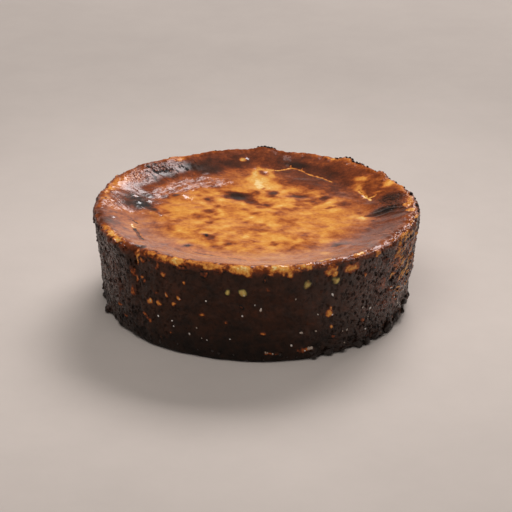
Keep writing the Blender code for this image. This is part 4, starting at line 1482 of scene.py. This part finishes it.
def crust_colour(tree, skin, browning):
    """The crust's colour: its browning with marks, strands and dashes, then painted shade in the pits and
    grooves, olive film and a painted sheen.
    """
    speckle = (skin.specks.mask - skin.coarse.mask * 0.5 - SPECK_MIDDLE) * skin.wrinkled
    level = speckle * SPECK_BROWNER + skin.browning
    inside = skin.edge.step(*MARK_OUTWARD) * MARK_EDGE_BROWNER + skin.mark_browning
    inside = (skin.coarse.mask - GRAIN_MIDDLE) * MARK_MOTTLE + inside
    level = toward(level, inside, skin.shown)
    golden = noise_level(tree, 80).step(*GOLDEN_STRAND) * (STRAND_GOLD - STRAND_BROWN) + STRAND_BROWN
    level = toward(level, golden, skin.strand) + skin.dash * DASH_BROWNER
    baked = place_group(tree, browning, Browning=level, Mottle=0.48, Mottle_Scale=520)
    # Painted shade darkens the pits and the grooves between the strands.
    soot = (skin.pitted * FINE_PIT_SHADE).most(skin.soot) * (1 - skin.strand)
    film = skin.olive * skin.edge.step(*OLIVE_FILM) * (skin.coarse.mask * OLIVE_MOTTLE)
    colour = mixed(mixed(baked.color, RECESS_SHADE_COLOUR, soot), OLIVE_COLOUR, film.clamped())
    # A painted sheen: the pale room's reflection on the slope, mixed into the colour.
    return mixed(colour, PAINTED_SHEEN_COLOUR, skin.haze * PAINTED_SHEEN_MOST)


def crust_material(browning, grain, pits):
    """Baked crust: mottled skin on top, glossy in places, and rough dark leather on the wall."""
    material, tree = new_material("baked_crust_skin")
    skin = crust_patterns(tree, grain, pits)
    ripples = noise_level(tree, 430, roughness=0.6, length=RIPPLE_LENGTH, turn=RIPPLE_TURN)
    dry = (skin.specks.mask.step(*DRY_SPECK) * skin.wrinkled).most(skin.dash)
    dry = dry.most(ripples.step(*DRY_RIPPLE) * skin.rippled)
    satin = (skin.shown * MARK_SATIN).most(skin.specks.mask.step(*SATIN_SPECK) * SPECK_SATIN) * skin.leather
    relief = skin.coarse.height * (skin.wrinkled * WRINKLE_BUMP + SKIN_GRAIN_BUMP)
    relief = relief + ridge_level(tree, RIDGES, RIDGE_TURN) * skin.rippled * RIDGE_BUMP
    relief = relief + skin.dash * DASH_BUMP + skin.specks.height * skin.wrinkled
    relief = relief + skin.strand * STRAND_BUMP + skin.coarse.height * skin.leather * LEATHER_BUMP
    relief = relief + skin.pitted * FINE_PIT_BUMP
    return set_shader(material, {
        "Base Color": crust_colour(tree, skin, browning),
        "Roughness": skin.fine.mask * GRAIN_ROUGHER + skin.shine * -GLOSS_SMOOTHER + SKIN_ROUGHNESS,
        "Specular IOR Level": 0.02,
        "Coat Weight": skin.shine * (1 - satin.most(skin.pitted.most(dry))),
        "Coat Roughness": 0.1,
        "Coat IOR": 1.6,
        "Normal": bump(relief + skin.fine.height * FINE_BUMP, SKIN_BUMP),
        "Coat Normal": bump(relief, SKIN_BUMP),
    })


def char_material(browning, grain):
    """Black char with a dull gloss."""
    material, tree = new_material("black_char")
    fine = place_group(tree, grain, Scale=1100, Sharpness=1.2)
    return set_shader(material, {
        "Base Color": place_group(tree, browning, Browning=0.95, Mottle=0.18, Mottle_Scale=600).color,
        "Roughness": fine.mask * 0.3 + 0.28,
        "Normal": bump(fine.height, CHAR_BUMP),
    })


def glint_bead_material(grain):
    """Glossy beads, painted pale as glints."""
    material, tree = new_material("pale_glint_beads")
    fine = place_group(tree, grain, Scale=1500, Sharpness=1.0)
    return set_shader(material, {
        "Base Color": colour_ramp(noise_level(tree, 160), GLINT_BEAD_COLOURS),
        "Roughness": fine.mask * 0.1 + 0.12,
        "Coat Weight": 0.6,
        "Coat Roughness": 0.08,
        "Normal": bump(fine.height, BEAD_BUMP),
    })


# ------------------------------------
# Floor, light and camera.

FLOOR_SIZE = 6.0
FLOOR_COLOUR = (0.575, 0.512, 0.468)
FLOOR_MOTTLE = 0.2
# A painted pool of light: the floor's tone falls off from near the cake to far from it, in metres, down to
# this share far off.
LIGHT_POOL_EDGES = (0.10, 0.48)
LIGHT_POOL_FAR_SHARE = 0.70
# The room's brightness by height, as the sine of the elevation: pale low down, dim above, lighter overhead.
ROOM_COLOUR = (0.60, 0.555, 0.53)
ROOM_HEIGHTS = ((0, 0.86), (0.16, 0.76), (0.30, 0.50), (0.38, 0.07), (0.75, 0.12), (1.0, 0.36))
# Each light: its name, bearing, elevation and distance, its width and height, its power and colour,
# and whether it shows as a highlight in what is glossy.
LIGHTS = (
    ("softbox", 160, 43, 3.0, (1.9, 1.05), 60, (1, 0.97, 0.96), False),
    ("front_fill", -20, 64, 2.6, (2.0, 2.0), 31, (1, 0.98, 0.96), False),
    ("window", 161, 42, 3.0, (1.02, 1.39), 30, (1, 0.96, 0.97), True),
)

CAMERA_PLACE = Vector((0.0008, -1.0392, 0.5036))
CAMERA_PITCH = 24.665
CAMERA_ROLL = 0.617
CAMERA_LENS = 129.67
SENSOR = 36


def floor_material():
    """Pale plain floor with a faint mottle, and a painted pool of light: its tone falls off away from the
    cake.
    """
    material, tree = new_material("pale_floor")
    away = add_node(tree, "VectorMath", "Value", {0: own_place(tree)}, operation="LENGTH")
    cloud = (noise_level(tree, 9, detail=6, roughness=0.7) - 0.5) * FLOOR_MOTTLE + 1
    shade = cloud * (away.step(*LIGHT_POOL_EDGES) * (LIGHT_POOL_FAR_SHARE - 1) + 1)
    tone = add_node(tree, "VectorMath", "Vector", {0: FLOOR_COLOUR, "Scale": shade}, operation="SCALE")
    return set_shader(material, {"Base Color": tone, "Roughness": 0.9, "Specular IOR Level": 0.2})


def make_floor():
    """A wide plain floor."""
    bpy.ops.mesh.primitive_plane_add(size=FLOOR_SIZE)
    floor = bpy.context.object
    floor.name = "floor"
    floor.data.materials.append(floor_material())


def area_light(name, bearing, elevation, distance, size, power, colour, in_gloss):
    """A soft rectangular light aimed at the middle of the cake."""
    light = bpy.data.lights.new(name, "AREA")
    light.shape = "RECTANGLE"
    light.size, light.size_y = size
    light.energy = power
    light.color = colour
    around, up = math.radians(bearing), math.radians(elevation)
    away = Vector((math.cos(up) * math.sin(around), -math.cos(up) * math.cos(around), math.sin(up)))
    lamp = bpy.data.objects.new(name, light)
    lamp.location = away * distance
    lamp.rotation_euler = away.to_track_quat("Z", "Y").to_euler()
    lamp.visible_camera = False
    lamp.visible_glossy = in_gloss
    bpy.context.scene.collection.objects.link(lamp)


def make_lights():
    """The soft lights, and a dim room that is pale low down."""
    for light in LIGHTS:
        area_light(*light)
    world = bpy.data.worlds.new("pale_room")
    world.use_nodes = True
    tree = world.node_tree
    place = add_node(tree, "TexCoord", "Generated", {})
    height = add_node(tree, "SeparateXYZ", "Z", {"Vector": place})
    stops = [(at, tuple(share * part for part in ROOM_COLOUR)) for at, share in ROOM_HEIGHTS]
    feed(tree.nodes["Background"].inputs["Color"], colour_ramp(height, stops))
    bpy.context.scene.world = world


def make_camera():
    """The camera at the photograph's viewing angle."""
    pitch = math.radians(CAMERA_PITCH)
    roll = math.radians(CAMERA_ROLL)
    forward = Vector((0, math.cos(pitch), -math.sin(pitch)))
    right = Vector((1, 0, 0))
    up = right.cross(forward)
    side = right * math.cos(roll) + up * math.sin(roll)
    rise = up * math.cos(roll) - right * math.sin(roll)
    lens = bpy.data.cameras.new("camera")
    lens.lens = CAMERA_LENS
    lens.sensor_width = SENSOR
    camera = bpy.data.objects.new("camera", lens)
    turn = Matrix((side, rise, -forward)).transposed()
    camera.matrix_world = Matrix.Translation(CAMERA_PLACE) @ turn.to_4x4()
    bpy.context.scene.collection.objects.link(camera)
    bpy.context.scene.camera = camera


# ------------------------------------
# Making it all.

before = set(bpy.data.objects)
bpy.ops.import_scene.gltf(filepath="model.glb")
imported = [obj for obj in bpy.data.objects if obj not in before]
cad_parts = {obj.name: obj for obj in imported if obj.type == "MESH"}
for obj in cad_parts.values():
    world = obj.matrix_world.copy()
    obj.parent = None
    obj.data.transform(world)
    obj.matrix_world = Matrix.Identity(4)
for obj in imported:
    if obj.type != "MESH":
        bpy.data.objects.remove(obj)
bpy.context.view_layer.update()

bpy.context.scene.view_settings.view_transform = "Standard"
make_camera()
make_lights()
make_floor()

browning = browning_group()
grain = grain_group()
crust = make_crust(crust_material(browning, grain, pits_group()))
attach(crust, "root")
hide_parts(NODE)
make_nodules(crust, char_material(browning, grain))
make_beads(crust, glint_bead_material(grain))
